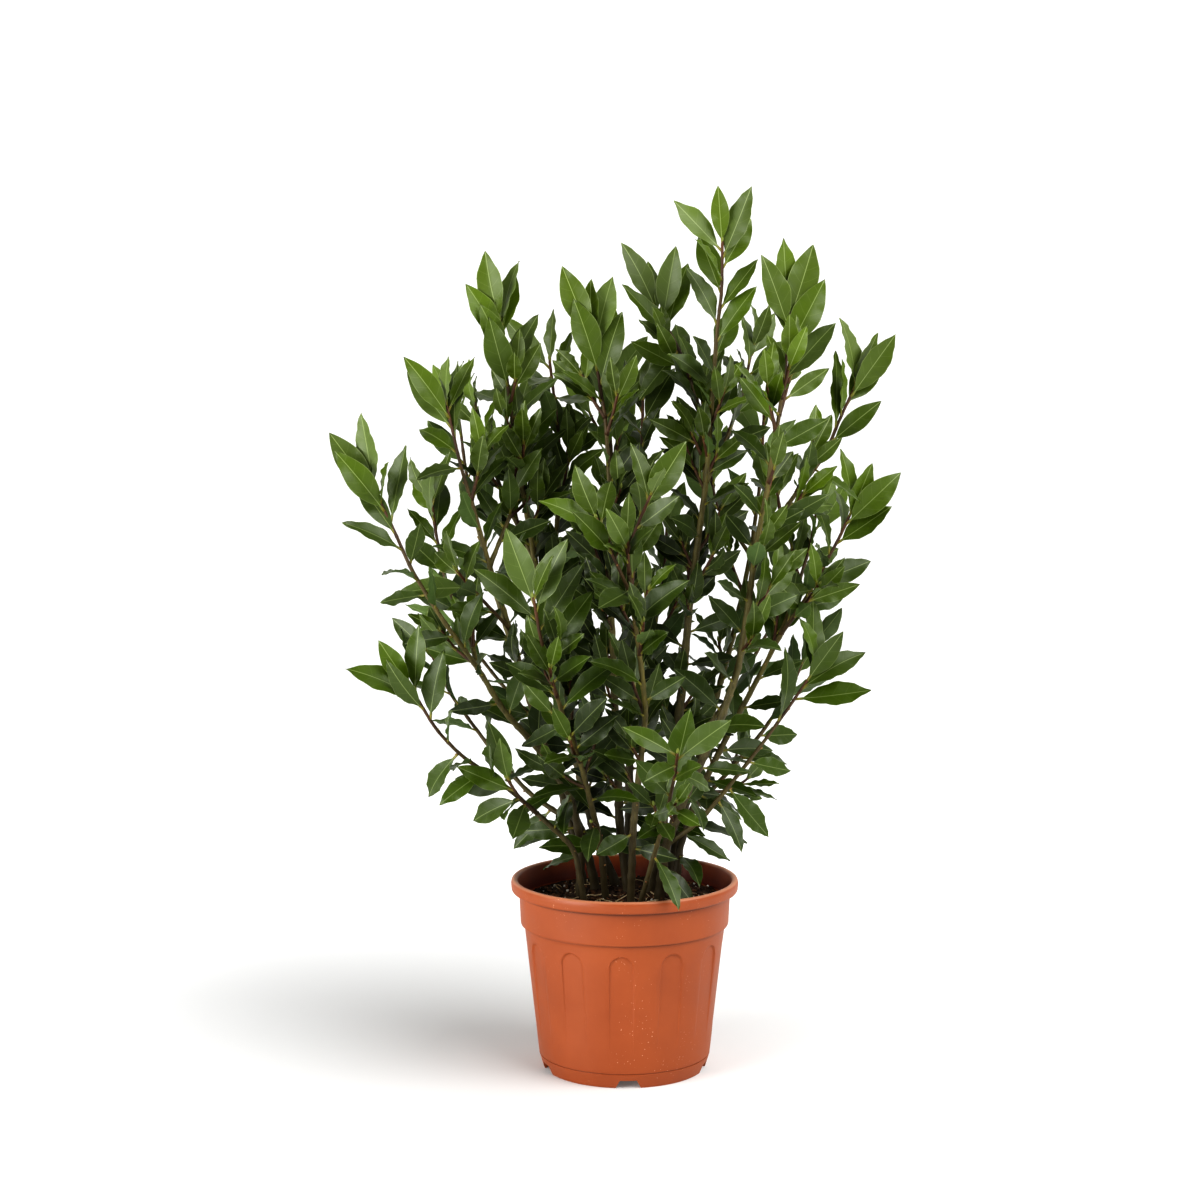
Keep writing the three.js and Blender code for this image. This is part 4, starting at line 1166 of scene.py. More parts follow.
def earth_material(name, dark, light, grain, rough, relief):
    """A crumbly or fibrous bit of the ground: two tones in grains so many mm across, and matt."""
    material, tree = new_material(name)
    place = add(tree, "TexCoord").outputs["Object"]
    grains = add(tree, "TexNoise", {"Vector": place, "Scale": every(2 * grain), "Detail": 5.0,
                                    "Roughness": 0.65})
    colour = add(tree, "ValToRGB", {0: grains}, stops=[(0.32, linear(dark)), (0.7, linear(light))])
    bump = add(tree, "Bump", {"Strength": 0.8, "Distance": relief * MM, "Height": grains})
    shader = add(tree, "BsdfPrincipled", {"Base Color": colour, "Roughness": rough, "IOR": 1.4,
                                          "Normal": bump})
    add(tree, "OutputMaterial", {"Surface": shader})
    return material


def floor_material(look):
    """Matt white paint on the studio's floor and sweep, which glows of itself, less round the pot's shadow.
    """
    material, tree = new_material("matt_white_studio_paint")
    place = add(tree, "TexCoord").outputs["Object"]
    grain = add(tree, "TexNoise", {"Vector": place, "Scale": every(333)})
    tone = add(tree, "MapRange", {0: grain, 1: 0.0, 2: 1.0, 3: 0.995, 4: 1.0})
    colour = add(tree, "HueSaturation", {"Value": tone, "Color": look.floor})
    # painted shadow: it glows less on the shadow's side of the pot, so that the pot's own shadow stays deep
    shadow = (-130 * MM, 60 * MM, 0.0)
    far = add(tree, "VectorMath", {0: place, 1: shadow}, operation="DISTANCE")
    glow = add(tree, "MapRange", {0: far, 1: 80 * MM, 2: 850 * MM, 3: 0.04, 4: look.glow})
    shader = add(tree, "BsdfPrincipled", {"Base Color": colour, "Roughness": 0.9, "Specular IOR Level": 0.1,
                                          "Emission Color": (1, 1, 1), "Emission Strength": glow})
    add(tree, "OutputMaterial", {"Surface": shader})
    return material


# ---------------------------------------------------------------- pot

# the pot's section, each corner as radius, height and rounding, in mm
OUTSIDE = [
    (85.5, 0, 0.8), (90.2, 15.0, 0.2), (89.5, 15.3, 0.15), (89.5, 15.9, 0.15), (90.3, 16.3, 0.2),
    (105.2, 149.4, 0.8), (106.0, 151.6, 0.5), (106.1, 153.1, 0.3), (109.1, 153.4, 0.4),
    (109.4, 154.8, 0.4), (110.8, 184.0, 0.8), (111.0, 187.2, 0.3), (117.9, 188.4, 0.3),
    (118.9, 189.6, 0.7), (119.6, 196.8, 2.4), (118.2, 201.0, 2.6), (113.0, 200.6, 2.6),
    (111.2, 194.0, 4.0)]
INSIDE = [
    (107.8, 181.0, 2.0), (102.4, 148.0, 1.5), (86.9, 15.0, 2.0), (84.0, 13.0, 1.5), (0, 13, 0)]
UNDERNEATH = [(0, 10, 0), (81.5, 10, 1.0), (82.4, 1.0, 0.4), (82.9, 0, 0.4), (85.5, 0, 0)]
WALL_STEPS = [(FLUTE_TOP - FLUTE_WIDTH / 2 - 2, 6), (FLUTE_TOP + 1, 0.8), (POT_HEIGHT + 1, 12)]
INNER_STEPS = [(POT_HEIGHT + 1, 14)]

FLUTE_EDGE = 1.4           # a flute's edge eases over this, in so many columns
EDGE_COLUMNS = 4
FLUTE_LOW = 0.5            # its depth at its foot
FLUTE_CROWN = 0.6          # share of the wall's curve that its bottom flattens
NOTCHES = 5                # notches through the foot ring, and drain holes between them
FIRST_NOTCH = 2            # their turns from the front, in degrees
FIRST_DRAIN = 36
NOTCH_LOW = (13.5, -1)     # half width and height of a notch at its floor
NOTCH_HIGH = (8.7, 8.6)    # and at its top
NOTCH_REACH = (66, 94)     # from and to these radii
DRAIN_RADIUS = 6
DRAIN_CIRCLE = 58
DRAIN_SIDES = 24
FLOOR_CUT = (5, 18)        # heights between which a drain's plug cuts
SHARP_EDGE = 35            # edges bent by more than this stay sharp


def eased(profile, steps=4):
    """A section's corners rounded: each is (radius, height, rounding)."""
    points = []
    for i, (r, z, rounding) in enumerate(profile):
        here = np.array([r, z], float)
        if rounding <= 0 or i in (0, len(profile) - 1):
            points.append(here)
            continue
        ends = []
        for other in (profile[i - 1], profile[i + 1]):
            run = np.array(other[:2], float) - here
            length = np.linalg.norm(run)
            ends.append(here + run / length * min(rounding, length * 0.49))
        for s in np.linspace(0, 1, steps + 1):
            points.append((1 - s) ** 2 * ends[0] + 2 * s * (1 - s) * here + s * s * ends[1])
    return points


def split_runs(points, steps):
    """Long runs of the section cut short: steps are (highest, longest) for heights from the floor up."""
    out = [points[0]]
    for corner in points[1:]:
        while True:
            longest = next(length for highest, length in steps if out[-1][1] < highest)
            left = np.linalg.norm(corner - out[-1])
            if left < longest * 1.3:
                break
            out.append(out[-1] + (corner - out[-1]) * longest / left)
        out.append(corner)
    return out


def pot_columns(form):
    """Columns round the pot, each (flute, place in mm across it) or (flute, None, share of the land)."""
    half = FLUTE_WIDTH / 2
    edge = [half - FLUTE_EDGE * k / EDGE_COLUMNS for k in range(EDGE_COLUMNS + 1)]
    inner = np.linspace(edge[-1] - 0.9, 0, form.columns)
    across = sorted([*edge, *inner, *(-e for e in edge), *(-i for i in inner if i > 0)])
    lands = form.columns // 2
    land = [(None, (k + 1) / lands) for k in range(lands - 1)]
    return [(flute, *place) for flute in range(FLUTES) for place in [(s, None) for s in across] + land]


def column_angle(column, radius):
    """The angle of a column at a radius: a flute keeps its width in mm up the tapering wall."""
    flute, across, share = column
    pitch = 2 * math.pi / FLUTES
    reach = clamp(radius, FOOT_RADIUS, RIM_RADIUS)
    half = FLUTE_WIDTH / 2 / reach
    middle = math.radians(FIRST_FLUTE) + flute * pitch
    if share is None:
        return middle + across / reach
    return middle + half + share * (pitch - 2 * half)


def flute_depth(form, across, radius, z):
    """How far a flute sinks into the wall: a flat-bottomed arch that fades out downwards."""
    if across is None or not FLUTE_FADE < z < FLUTE_TOP:
        return 0.0
    half = FLUTE_WIDTH / 2
    springing = FLUTE_TOP - half
    inside = half - (abs(across) if z < springing else math.hypot(across, z - springing))
    edge = clamp(inside / FLUTE_EDGE)
    share = (z - FLUTE_FADE) / (FLUTE_TOP - FLUTE_FADE)
    depth = mix(FLUTE_LOW, form.flute_depth / MM, share) - across ** 2 / (2 * radius) * FLUTE_CROWN
    return max(depth, 0.0) * edge * edge * (3 - 2 * edge) * clamp(share * 5)


def wall_shell(form):
    """The pot's skin before its notches and drains are cut: points in rings and their faces."""
    wall = split_runs(eased([UNDERNEATH[-2], *OUTSIDE, INSIDE[0]])[1:-1], WALL_STEPS)
    inner = split_runs(eased([OUTSIDE[-1], *INSIDE])[1:], INNER_STEPS)
    floor = eased(UNDERNEATH)[:-2]
    section = floor + wall + inner
    columns = pot_columns(form)
    points, starts = [], []
    for k, (r, z) in enumerate(section):
        starts.append(len(points))
        if r == 0:
            points.append((0.0, 0.0, z))
            continue
        fluted = len(floor) <= k < len(floor) + len(wall)
        for column in columns:
            angle = column_angle(column, r)
            radius = r - (flute_depth(form, column[1], r, z) if fluted else 0)
            points.append((radius * math.sin(angle), -radius * math.cos(angle), z))
    faces = []
    for k, (a, b) in enumerate(zip(starts, starts[1:])):
        for j in range(len(columns)):
            n = (j + 1) % len(columns)
            if section[k][0] == 0:
                faces.append((a, b + n, b + j))
            elif section[k + 1][0] == 0:
                faces.append((a + j, a + n, b))
            else:
                faces.append((a + j, a + n, b + n, b + j))
    return points, faces


def notch(skin, angle):
    """A prism through the foot ring, narrower at its top."""
    (w0, z0), (w1, z1) = NOTCH_LOW, NOTCH_HIGH
    corners = [(-w0, z0), (w0, z0), (w1, z1), (-w1, z1)]
    c, s = math.cos(angle), math.sin(angle)
    points = [(c * x + s * y, s * x - c * y, z) for y in NOTCH_REACH for x, z in corners]
    skin.add(points, [(3, 2, 1, 0), (4, 5, 6, 7), (0, 1, 5, 4), (1, 2, 6, 5), (2, 3, 7, 6), (3, 0, 4, 7)])


def drain(skin, angle):
    """A round plug through the pot's floor."""
    cx, cy = DRAIN_CIRCLE * math.sin(angle), -DRAIN_CIRCLE * math.cos(angle)
    plug = [point for height in FLOOR_CUT for point in ring(DRAIN_RADIUS, height, DRAIN_SIDES)]
    points = [(cx + x, cy + y, z) for x, y, z in plug]
    ends = [tuple(range(DRAIN_SIDES))[::-1], tuple(range(DRAIN_SIDES, 2 * DRAIN_SIDES))]
    skin.add(points, grid_faces(2, DRAIN_SIDES) + ends)


def cut_foot(pot, context):
    """Cuts the notches and the drain holes through the pot's foot and floor."""
    tool = Skin()
    for k in range(NOTCHES):
        notch(tool, math.radians(FIRST_NOTCH + 360 / NOTCHES * k))
        drain(tool, math.radians(FIRST_DRAIN + 360 / NOTCHES * k))
    cutter = tool.piece("foot_cutter", pot.data.materials[0])
    cut = pot.modifiers.new("notches", "BOOLEAN")
    cut.operation = "DIFFERENCE"
    cut.solver = "EXACT"
    cut.object = cutter
    mesh = bpy.data.meshes.new_from_object(pot.evaluated_get(context.evaluated_depsgraph_get()))
    pot.modifiers.clear()
    pot.data = mesh
    bpy.data.objects.remove(cutter)


def edge_angles(mesh):
    """The angle between the two faces at each edge."""
    normals = [p.normal for p in mesh.polygons]
    at = [[] for _ in mesh.edges]
    for polygon in mesh.polygons:
        for loop in polygon.loop_indices:
            at[mesh.loops[loop].edge_index].append(normals[polygon.index])
    return [a[0].angle(a[1], 0) if len(a) == 2 else math.pi for a in at]


# ---------------------------------------------------------------- soil

SOIL_COLUMNS = 150
SOIL_RINGS = 62
SOIL_REACH = 106.4         # radius of its top
SOIL_WALL = ((105.5, 172), (101.8, 148), (85.2, 15.6), (83.4, 13.6))  # radius and height down its side
# clods, and the grit between them: height in mm, waves for each mm, roughness, gap between octaves, layer
SOIL_RELIEF = ((1.5, 0.09, 1.0, 2.0, 3.1), (0.9, 0.33, 0.9, 2.1, 7.7))
STOOL_RISE = 2.2           # the soil is drawn up by this at a stem,
STOOL_SPREAD = 90          # over the square root of this, in mm
CRUMB_ROWS = 4
CRUMB_SIDES = 6
CRUMB_REACH = (0.75, 1.2)  # how uneven a crumb is, against its mean radius
CHIP_SIDES = 7
CHIP_REACH = (0.7, 1.15)
CHIP_MOST = 100            # no chip's middle lies further out
CHIP_LENGTHS = (3.0, 12.0)
CHIP_WIDTHS = (0.3, 0.7)   # as a share of its length
CHIP_THICK = (0.6, 1.4)
CHIP_HIGH = (0.6, 2.2)     # height of its middle over the soil
CHIP_TILT = 0.45           # steepest, in radians,
CHIP_ROLL = (0.3, 0.4)     # and how it lies over to one side
STRAW_MOST = 92            # no straw's middle lies further out,
STRAW_STAYS = 102          # and none of its points
STRAW_LENGTHS = (8, 55)
STRAW_BEND = 0.25
STRAW_HIGH = (1.5, 4.0)
STRAW_RADII = (0.25, 0.5)
STRAW_STOUT = 0.007        # radius gained for each mm of its length


def soil_height(x, y):
    """The solids' lumpy surface."""
    return (SOIL_LEVEL + SOIL_LUMP * 0.6 * math.sin(0.11 * x + 1.3) * math.cos(0.09 * y - 0.4)
            + SOIL_LUMP * 0.5 * math.sin(0.19 * x - 0.23 * y + 2.1))


def soil_top(x, y):
    """The surface with its clods and grit, drawn up a little round each stem."""
    height = soil_height(x, y)
    for high, close, roughness, gap, layer in SOIL_RELIEF:
        height += high * noise.fractal(Vector((x * close, y * close, layer)), roughness, gap, 3)
    for stem in STEMS:
        fx, fy = stem["foot"]
        height += STOOL_RISE * math.exp(-((x - fx) ** 2 + (y - fy) ** 2) / STOOL_SPREAD)
    return height


def soil_body(skin):
    """The closed body of soil: its lumpy top, its side that keeps off the pot's wall, and its floor."""
    points = [(0, 0, soil_top(0, 0))]
    for i in range(1, SOIL_RINGS + 1):
        points += [(x, y, soil_top(x, y)) for x, y, _ in ring(SOIL_REACH * i / SOIL_RINGS, 0, SOIL_COLUMNS)]
    for radius, z in SOIL_WALL:
        points += ring(radius, z, SOIL_COLUMNS)
    points.append((0, 0, SOIL_WALL[-1][1]))
    rings = SOIL_RINGS + len(SOIL_WALL)
    faces = [(0, 1 + j, 1 + (j + 1) % SOIL_COLUMNS) for j in range(SOIL_COLUMNS)]
    faces += [tuple(1 + corner for corner in (a, d, c, b)) for a, b, c, d in grid_faces(rings, SOIL_COLUMNS)]
    low = 1 + (rings - 1) * SOIL_COLUMNS
    faces += [(low + (j + 1) % SOIL_COLUMNS, low + j, len(points) - 1) for j in range(SOIL_COLUMNS)]
    skin.add(points, faces)


def spot_on_soil(draw, most):
    """A place on the soil, evenly spread, no further out than the most."""
    reach, turn = most * math.sqrt(draw()), 2 * math.pi * draw()
    return reach * math.cos(turn), reach * math.sin(turn)


def add_crumb(skin, centre, size, draw):
    """One irregular closed crumb."""
    x, y, z = centre
    points = [(x, y, z - size * 0.5)]
    for i in range(1, CRUMB_ROWS):
        polar = math.pi * i / CRUMB_ROWS
        for j in range(CRUMB_SIDES):
            turn = 2 * math.pi * (j + 0.5 * (i % 2)) / CRUMB_SIDES
            reach = size * 0.5 * mix(*CRUMB_REACH, draw())
            points.append((x + reach * math.sin(polar) * math.cos(turn),
                           y + reach * math.sin(polar) * math.sin(turn), z - reach * math.cos(polar)))
    points.append((x, y, z + size * 0.5))
    faces = [(0, 1 + (j + 1) % CRUMB_SIDES, 1 + j) for j in range(CRUMB_SIDES)]
    faces += [tuple(1 + corner for corner in face) for face in grid_faces(CRUMB_ROWS - 1, CRUMB_SIDES)]
    start = 1 + (CRUMB_ROWS - 2) * CRUMB_SIDES
    faces += [(start + j, start + (j + 1) % CRUMB_SIDES, len(points) - 1) for j in range(CRUMB_SIDES)]
    skin.add(points, faces)


def lay_crumbs(skin, draw, count, most, sizes, small, high):
    """Crumbs over the soil: how far out at most, their least and greatest size, the power that makes
    more of them small, and how high they lie, as a share of their size."""
    for _ in range(count):
        x, y = spot_on_soil(draw, most)
        size = mix(*sizes, draw() ** small)
        add_crumb(skin, (x, y, soil_top(x, y) + size * high), size, draw)


def add_chip(skin, centre, length, width, thick, draw):
    """One flake of bark: an uneven slab lying at any angle."""
    heading = 2 * math.pi * draw()
    tilt = mix(-CHIP_TILT, CHIP_TILT, draw())
    way = np.array([math.cos(heading) * math.cos(tilt), math.sin(heading) * math.cos(tilt), math.sin(tilt)])
    flat = unit(cross(np.array([0, 0, 1.0]), way)) * math.cos(CHIP_ROLL[0])
    side = rising(flat, mix(-CHIP_ROLL[1], CHIP_ROLL[1], draw()))
    side = unit(side - way * (side @ way))
    up = cross(way, side)
    outline = []
    for k in range(CHIP_SIDES):
        turn = 2 * math.pi * k / CHIP_SIDES
        reach = mix(*CHIP_REACH, draw())
        outline.append((math.cos(turn) * length / 2 * reach, math.sin(turn) * width / 2 * reach))
    points = [centre + way * a + side * b + up * thick * h for h in (-0.5, 0.5) for a, b in outline]
    ends = [tuple(range(CHIP_SIDES))[::-1], tuple(range(CHIP_SIDES, 2 * CHIP_SIDES))]
    skin.add(points, grid_faces(2, CHIP_SIDES) + ends)


def lay_chips(skin, draw, count):
    """Bark chips over the soil, more of them small."""
    for _ in range(count):
        x, y = spot_on_soil(draw, CHIP_MOST)
        length = mix(*CHIP_LENGTHS, draw() ** 2)
        centre = np.array([x, y, soil_top(x, y) + mix(*CHIP_HIGH, draw())])
        width = length * mix(*CHIP_WIDTHS, draw())
        add_chip(skin, centre, length, width, mix(*CHIP_THICK, draw()), draw)


def lay_straws(skin, draw, count):
    """Bent straws over the soil, more of them short, each arching a little off it."""
    for _ in range(count):
        x, y = spot_on_soil(draw, STRAW_MOST)
        length, heading = mix(*STRAW_LENGTHS, draw() ** 2.5), 2 * math.pi * draw()
        bend, high = mix(-STRAW_BEND, STRAW_BEND, draw()), mix(*STRAW_HIGH, draw())
        path = []
        for s in np.linspace(-0.5, 0.5, 7):
            arch = 0.25 - s * s
            px = x + length * (s * math.cos(heading) - bend * arch * math.sin(heading))
            py = y + length * (s * math.sin(heading) + bend * arch * math.cos(heading))
            keep = min(1.0, STRAW_STAYS / max(math.hypot(px, py), 1))
            px, py = px * keep, py * keep
            path.append(np.array([px, py, soil_top(px, py) + high * (0.4 + 1.2 * arch)]))
        radius = mix(*STRAW_RADII, draw()) + length * STRAW_STOUT
        tube(skin, path, [radius * 0.7, *[radius] * 5, radius * 0.5], 5)


# ---------------------------------------------------------------- properties


def colour_property(name, hex_colour, description):
    return bpy.props.FloatVectorProperty(name=name, description=description, subtype="COLOR", size=3,
                                         min=0, max=1, default=linear(hex_colour))


def count_property(name, count, description):
    return bpy.props.IntProperty(name=name, description=description, default=count, min=0)


class LaurelFinish(bpy.types.PropertyGroup):
    """Colours of the leaves and the wood."""

    young_leaf: colour_property("Young leaf", "#51611F", "Upper face of the youngest leaves")
    grown_leaf: colour_property("Grown leaf", "#50621B", "Upper face of this year's leaves")
    old_leaf: colour_property("Old leaf", "#36470D", "Upper face of last year's leaves")
    young_underside: colour_property("Young underside", "#71833A", "Underside of young leaves")
    old_underside: colour_property("Old underside", "#4F6238", "Underside of old leaves")
    leaf_rib: colour_property("Rib and margin", "#9DAA70", "Midrib, side veins and margin")
    leaf_stalk: colour_property("Leaf stalk", "#7A7430", "Stalk of a leaf")
    young_bark: colour_property("Young bark", "#59381F", "Bark at a shoot's very tip")
    shoot_bark: colour_property("Shoot bark", "#412B14", "Bark of a shoot's topmost hand's breadth")
    olive_bark: colour_property("Olive bark", "#5E5626", "Bark of a grown shoot")
    old_bark: colour_property("Old bark", "#524B29", "Bark at a stem's foot")
    # the lower wood's colour: flaking bark and painted shade
    foot_bark_and_shade: colour_property("Foot bark", "#3A3019", "Flaking bark just above the soil")
    bark_pore: colour_property("Bark pore", "#857660", "Pores in old bark")
    red_bud: colour_property("Red bud", "#8C5A3C", "Buds in the leaf axils")
    green_bud: colour_property("Green bud", "#77803A", "Buds at the shoots' tips")


class LaurelLeaves(bpy.types.PropertyGroup):
    """Form of the leaves and how many twigs bear them."""

    twigs: bpy.props.FloatProperty(name="Twigs", description="Share of the leaf axils that have a twig",
                                   default=0.3, min=0, max=1, subtype="FACTOR")
    ripple: bpy.props.FloatProperty(name="Ripple", description="How far the blade's edge ripples",
                                    default=0.0011, min=0, unit="LENGTH")


class LaurelPot(bpy.types.PropertyGroup):
    """Form and colours of the pot."""

    flute_depth: bpy.props.FloatProperty(name="Flute depth", description="Depth of a flute at its top",
                                         default=0.0022, min=0, unit="LENGTH")
    columns: bpy.props.IntProperty(name="Columns", description="Columns of faces in half a flute",
                                   default=12, min=4)
    pot_light: colour_property("Plastic, light", "#9B4F23", "Where the melt flowed clear")
    pot_dark: colour_property("Plastic, dark", "#90461B", "Where the melt clouded")
    # the inner wall's colour: soil dust and painted shade
    pot_inside: colour_property("Inner wall", "#6E2C15", "Inner wall, dusty with soil")
    # also the colour of the painted highlight on the rim's top edge
    splash: colour_property("Dried splash", "#E6B493", "Specks left by watering")
    # the colour of the painted shade in the moulding's creases
    crease_shade: colour_property("Grime", "#3A1C0E", "Dirt in the creases of the moulding")


class LaurelSoil(bpy.types.PropertyGroup):
    """Amounts of what lies in the soil."""

    crumbs: count_property("Soil crumbs", 900, "Loose crumbs of peat")
    perlite: count_property("Perlite", 130, "Pale perlite crumbs")
    chips: count_property("Bark chips", 260, "Flakes of brown bark")
    straws: count_property("Straws", 46, "Pale bits of root and straw")


class LaurelStage(bpy.types.PropertyGroup):
    """Floor, light and camera."""

    floor: colour_property("Floor", "#D3D3D2", "Paint of the floor and the sweep")
    glow: bpy.props.FloatProperty(name="Floor glow", description="How much the lit sweep glows of itself",
                                  default=0.42, min=0)
    sky: bpy.props.FloatProperty(name="Room light", description="Strength of the room's even light",
                                 default=0.28, min=0)
    key: bpy.props.FloatProperty(name="Key light", description="Power of the large light on the right",
                                 default=110.0, min=0, unit="POWER")
    fill: bpy.props.FloatProperty(name="Fill light", description="Power of the light from the left",
                                  default=62.0, min=0, unit="POWER")


# ---------------------------------------------------------------- stage, in metres

SWEEP_SIDE = 9.0           # half the width of the floor and its sweep,
SWEEP_FRONT = -7.0         # which starts here,
SWEEP_BEND = 4.2           # bends up here
SWEEP_RADIUS = 1.5         # by this radius
SWEEP_TOP = 6.0            # and ends at this height
CROWN_MIDDLE = (0, 0, 0.35)
CAMERA_PLACE = (-0.0259, -2.279, 0.705)
CAMERA_DOWN = 5.3          # degrees
SENSOR_WIDTH = 36.0        # mm
LENS_LENGTH = 66.0


def studio_sweep(look):
    """A floor that curves up behind the plant."""
    bend = [(SWEEP_BEND + SWEEP_RADIUS * math.sin(t), SWEEP_RADIUS * (1 - math.cos(t)))
            for t in np.linspace(0, math.pi / 2, 16)]
    rows = [(SWEEP_FRONT, 0), *bend, (SWEEP_BEND + SWEEP_RADIUS, SWEEP_TOP)]
    skin = Skin()
    points = [(x / MM, y / MM, z / MM) for y, z in rows for x in (-SWEEP_SIDE, SWEEP_SIDE)]
    skin.add(points, grid_faces(len(rows), 2, wrap=False))
    skin.piece("studio_sweep", floor_material(look))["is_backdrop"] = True


def light_room(scene, strength):
    """Even white light from all round."""
    scene.world = bpy.data.worlds.new("white_room")
    scene.world.use_nodes = True
    tree = scene.world.node_tree
    tree.nodes.clear()
    light = add(tree, "Background", {"Color": (1, 1, 1), "Strength": strength})
    add(tree, "OutputWorld", {"Surface": light})


def hang_softbox(scene, name, power, size, place):
    """A round soft light, aimed at the crown."""
    lamp = bpy.data.lights.new(name, "AREA")
    lamp.shape = "DISK"
    lamp.size = size
    lamp.energy = power
    obj = bpy.data.objects.new(name, lamp)
    obj.location = place
    obj.rotation_euler = (Vector(CROWN_MIDDLE) - Vector(place)).to_track_quat("-Z", "Y").to_euler()
    scene.collection.objects.link(obj)


def set_camera(scene):
    """The camera in front of the plant, looking down a little."""
    lens = bpy.data.cameras.new("front_camera")
    lens.sensor_width = SENSOR_WIDTH
    lens.lens = LENS_LENGTH
    lens.clip_end = 60.0
    camera = bpy.data.objects.new("front_camera", lens)
    camera.location = CAMERA_PLACE
    camera.rotation_euler = (math.radians(90 - CAMERA_DOWN), 0, 0)
    scene.collection.objects.link(camera)
    scene.camera = camera


# ---------------------------------------------------------------- operators


class LAUREL_OT_stage(bpy.types.Operator):
    """Floor with its sweep, soft lights and the camera"""

    bl_idname = "laurel.stage"
    bl_label = "Set the stage"

    def execute(self, context):
        scene = context.scene
        look = scene.laurel_stage
        scene.view_settings.view_transform = "Standard"
        scene.view_settings.look = "High Contrast"
        studio_sweep(look)
        light_room(scene, look.sky)
        hang_softbox(scene, "key_softbox", look.key, size=3.4, place=(2.1, -1.45, 2.5))
        hang_softbox(scene, "fill_softbox", look.fill, size=1.8, place=(-2.2, -1.6, 0.9))
        set_camera(scene)
        return {"FINISHED"}


class LAUREL_OT_pot(bpy.types.Operator):
    """The moulded pot with its rolled lip, collar, flutes, notched foot and drain holes"""

    bl_idname = "laurel.pot"
    bl_label = "Mould the pot"

    def execute(self, context):
        look = context.scene.laurel_pot
        skin = Skin()
        skin.add(*wall_shell(look))
        pot = skin.piece("nursery_pot", pot_material(look))
        cut_foot(pot, context)
        mesh = pot.data
        sharp = mesh.attributes.get("sharp_edge") or mesh.attributes.new("sharp_edge", "BOOLEAN", "EDGE")
        sharp.data.foreach_set("value", [math.degrees(angle) > SHARP_EDGE for angle in edge_angles(mesh)])
        seat_piece(pot, "pot_plastic", "pot")
        return {"FINISHED"}


class LAUREL_OT_soil(bpy.types.Operator):
    """The peat soil, with crumbs, perlite, bark chips and bits of straw"""

    bl_idname = "laurel.soil"
    bl_label = "Fill in the soil"

    def execute(self, context):
        look = context.scene.laurel_soil
        # damp peat: nearly black, with brown fibres that catch the light
        peat = earth_material("damp_peat_soil", "#1A120D", "#57402E", grain=2.2, rough=0.95, relief=1.0)
        skin = Skin()
        soil_body(skin)
        lay_crumbs(skin, make_random(4101), look.crumbs, most=104, sizes=(1.6, 6.0), small=2, high=0.15)
        seat_piece(skin.piece("peat_soil", peat), "potting_soil", "soil")

        # perlite: glass foamed by heat, off-white and chalky
        white = earth_material("expanded_perlite", "#B7B1A4", "#F0ECE2", grain=0.8, rough=0.85, relief=0.3)
        skin = Skin()
        lay_crumbs(skin, make_random(4102), look.perlite, most=103, sizes=(1.3, 3.6), small=1.5,
                   high=0.3)
        seat_piece(skin.piece("perlite_crumbs", white), "potting_soil")

        # composted bark: shredded flakes in warm browns, redder than the peat
        bark = earth_material("composted_bark", "#3A2314", "#7A5433", grain=1.2, rough=0.85, relief=0.4)
        skin = Skin()
        lay_chips(skin, make_random(4103), look.chips)
        seat_piece(skin.piece("bark_chips", bark, smooth=False), "potting_soil")

        # dry roots and straw: bleached to a pale tan, a little smoother than the rest
        straw = earth_material("dry_root_straw", "#9B8560", "#D9C6A0", grain=1.0, rough=0.7, relief=0.2)
        skin = Skin()
        lay_straws(skin, make_random(4104), look.straws)
        seat_piece(skin.piece("root_straws", straw), "potting_soil")
        return {"FINISHED"}


class LAUREL_OT_wood(bpy.types.Operator):
    """The stems and side shoots with their bark, swollen nodes and buds"""

    bl_idname = "laurel.wood"
    bl_label = "Grow the wood"

    def execute(self, context):
        bark = bark_material(context.scene.laurel_finish)
        for number in range(len(STEMS)):
            skin = Skin()
            axes, nodes = grown_nodes(number, context.scene.laurel_leaves.twigs)
            for shoot, (axis, _, _) in enumerate(axes):
                seats = np.array([n["from_tip"] for n in nodes if n["shoot"] == shoot])
                add_shoot(skin, axis, number, shoot, seats)
            for node in nodes:
                if node["point"][2] >= BUD_LOWEST and node["from_tip"] >= BUD_FIRST:
                    add_side_bud(skin, node)
            wood = skin.piece(f"laurel_wood_{number + 1:02d}", bark)
            seat_piece(wood, "laurel_wood", f"leafy_stem_{number + 1:02d}")
        return {"FINISHED"}


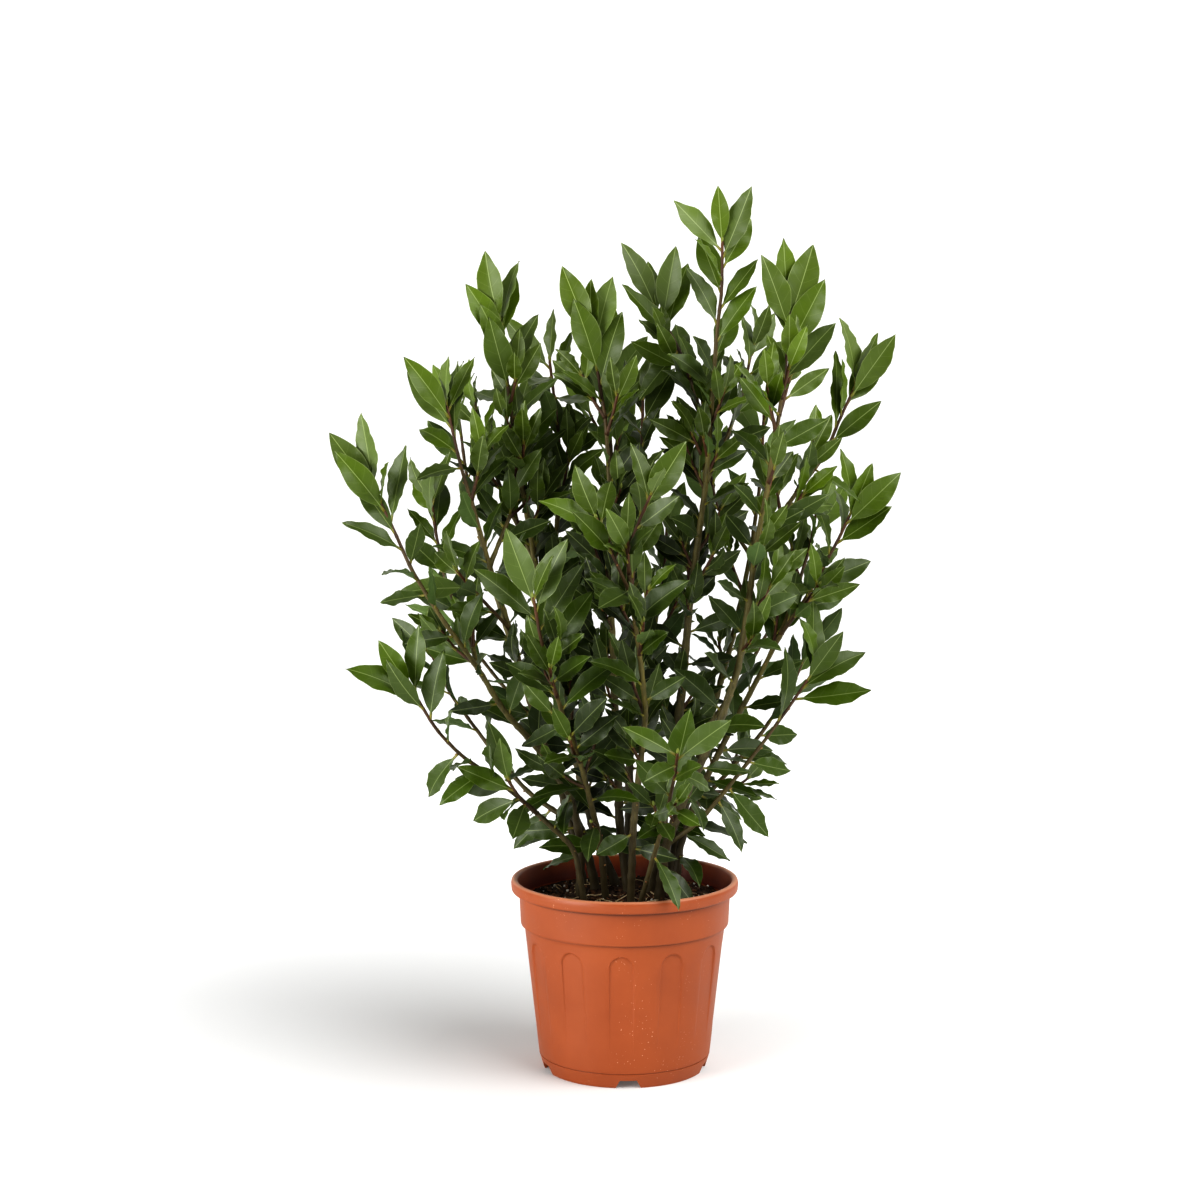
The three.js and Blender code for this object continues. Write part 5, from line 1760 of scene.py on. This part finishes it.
class LAUREL_OT_leaves(bpy.types.Operator):
    """Every leaf of the crown"""

    bl_idname = "laurel.leaves"
    bl_label = "Set the leaves"

    def execute(self, context):
        green = leaf_material(context.scene.laurel_finish)
        form = context.scene.laurel_leaves
        skins = [Skin() for _ in STEMS]
        for leaf in grow_leaves(form.twigs):
            add_leaf(skins[leaf["node"]["stem"]], leaf, form.ripple / MM)
        for number, skin in enumerate(skins):
            leaves = skin.piece(f"laurel_leaves_{number + 1:02d}", green)
            seat_piece(leaves, "laurel_leaf", f"leafy_stem_{number + 1:02d}")
        return {"FINISHED"}


class LAUREL_PT_parts(bpy.types.Panel):
    """Lists the laurel's pieces and their settings"""

    bl_label = "Potted bay laurel"
    bl_idname = "LAUREL_PT_parts"
    bl_space_type = "VIEW_3D"
    bl_region_type = "UI"
    bl_category = "Laurel"

    def draw(self, context):
        for name, operator in PARTS:
            box = self.layout.box()
            box.operator(operator.bl_idname)
            group = getattr(context.scene, name)
            for field in group.bl_rna.properties:
                if field.identifier not in ("rna_type", "name"):
                    box.prop(group, field.identifier)


GROUPS = {
    "laurel_stage": LaurelStage,
    "laurel_pot": LaurelPot,
    "laurel_soil": LaurelSoil,
    "laurel_finish": LaurelFinish,
    "laurel_leaves": LaurelLeaves,
}

PARTS = [
    ("laurel_stage", LAUREL_OT_stage),
    ("laurel_pot", LAUREL_OT_pot),
    ("laurel_soil", LAUREL_OT_soil),
    ("laurel_finish", LAUREL_OT_wood),
    ("laurel_leaves", LAUREL_OT_leaves),
]


def register():
    for cls in [*GROUPS.values(), *(operator for _, operator in PARTS), LAUREL_PT_parts]:
        bpy.utils.register_class(cls)
    for name, group in GROUPS.items():
        setattr(bpy.types.Scene, name, bpy.props.PointerProperty(type=group))


def unregister():
    for name in GROUPS:
        delattr(bpy.types.Scene, name)
    for cls in [LAUREL_PT_parts, *(operator for _, operator in PARTS), *GROUPS.values()]:
        bpy.utils.unregister_class(cls)


def main():
    """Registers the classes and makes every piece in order."""
    register()
    bpy.ops.laurel.stage()
    bpy.ops.laurel.pot()
    bpy.ops.laurel.soil()
    bpy.ops.laurel.wood()
    bpy.ops.laurel.leaves()
    boxes = {"cad": CAD_BOX, "visual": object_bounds()}
    {name: [list(corner) for corner in box] for name, box in boxes.items()}


if __name__ == "__main__":
    main()
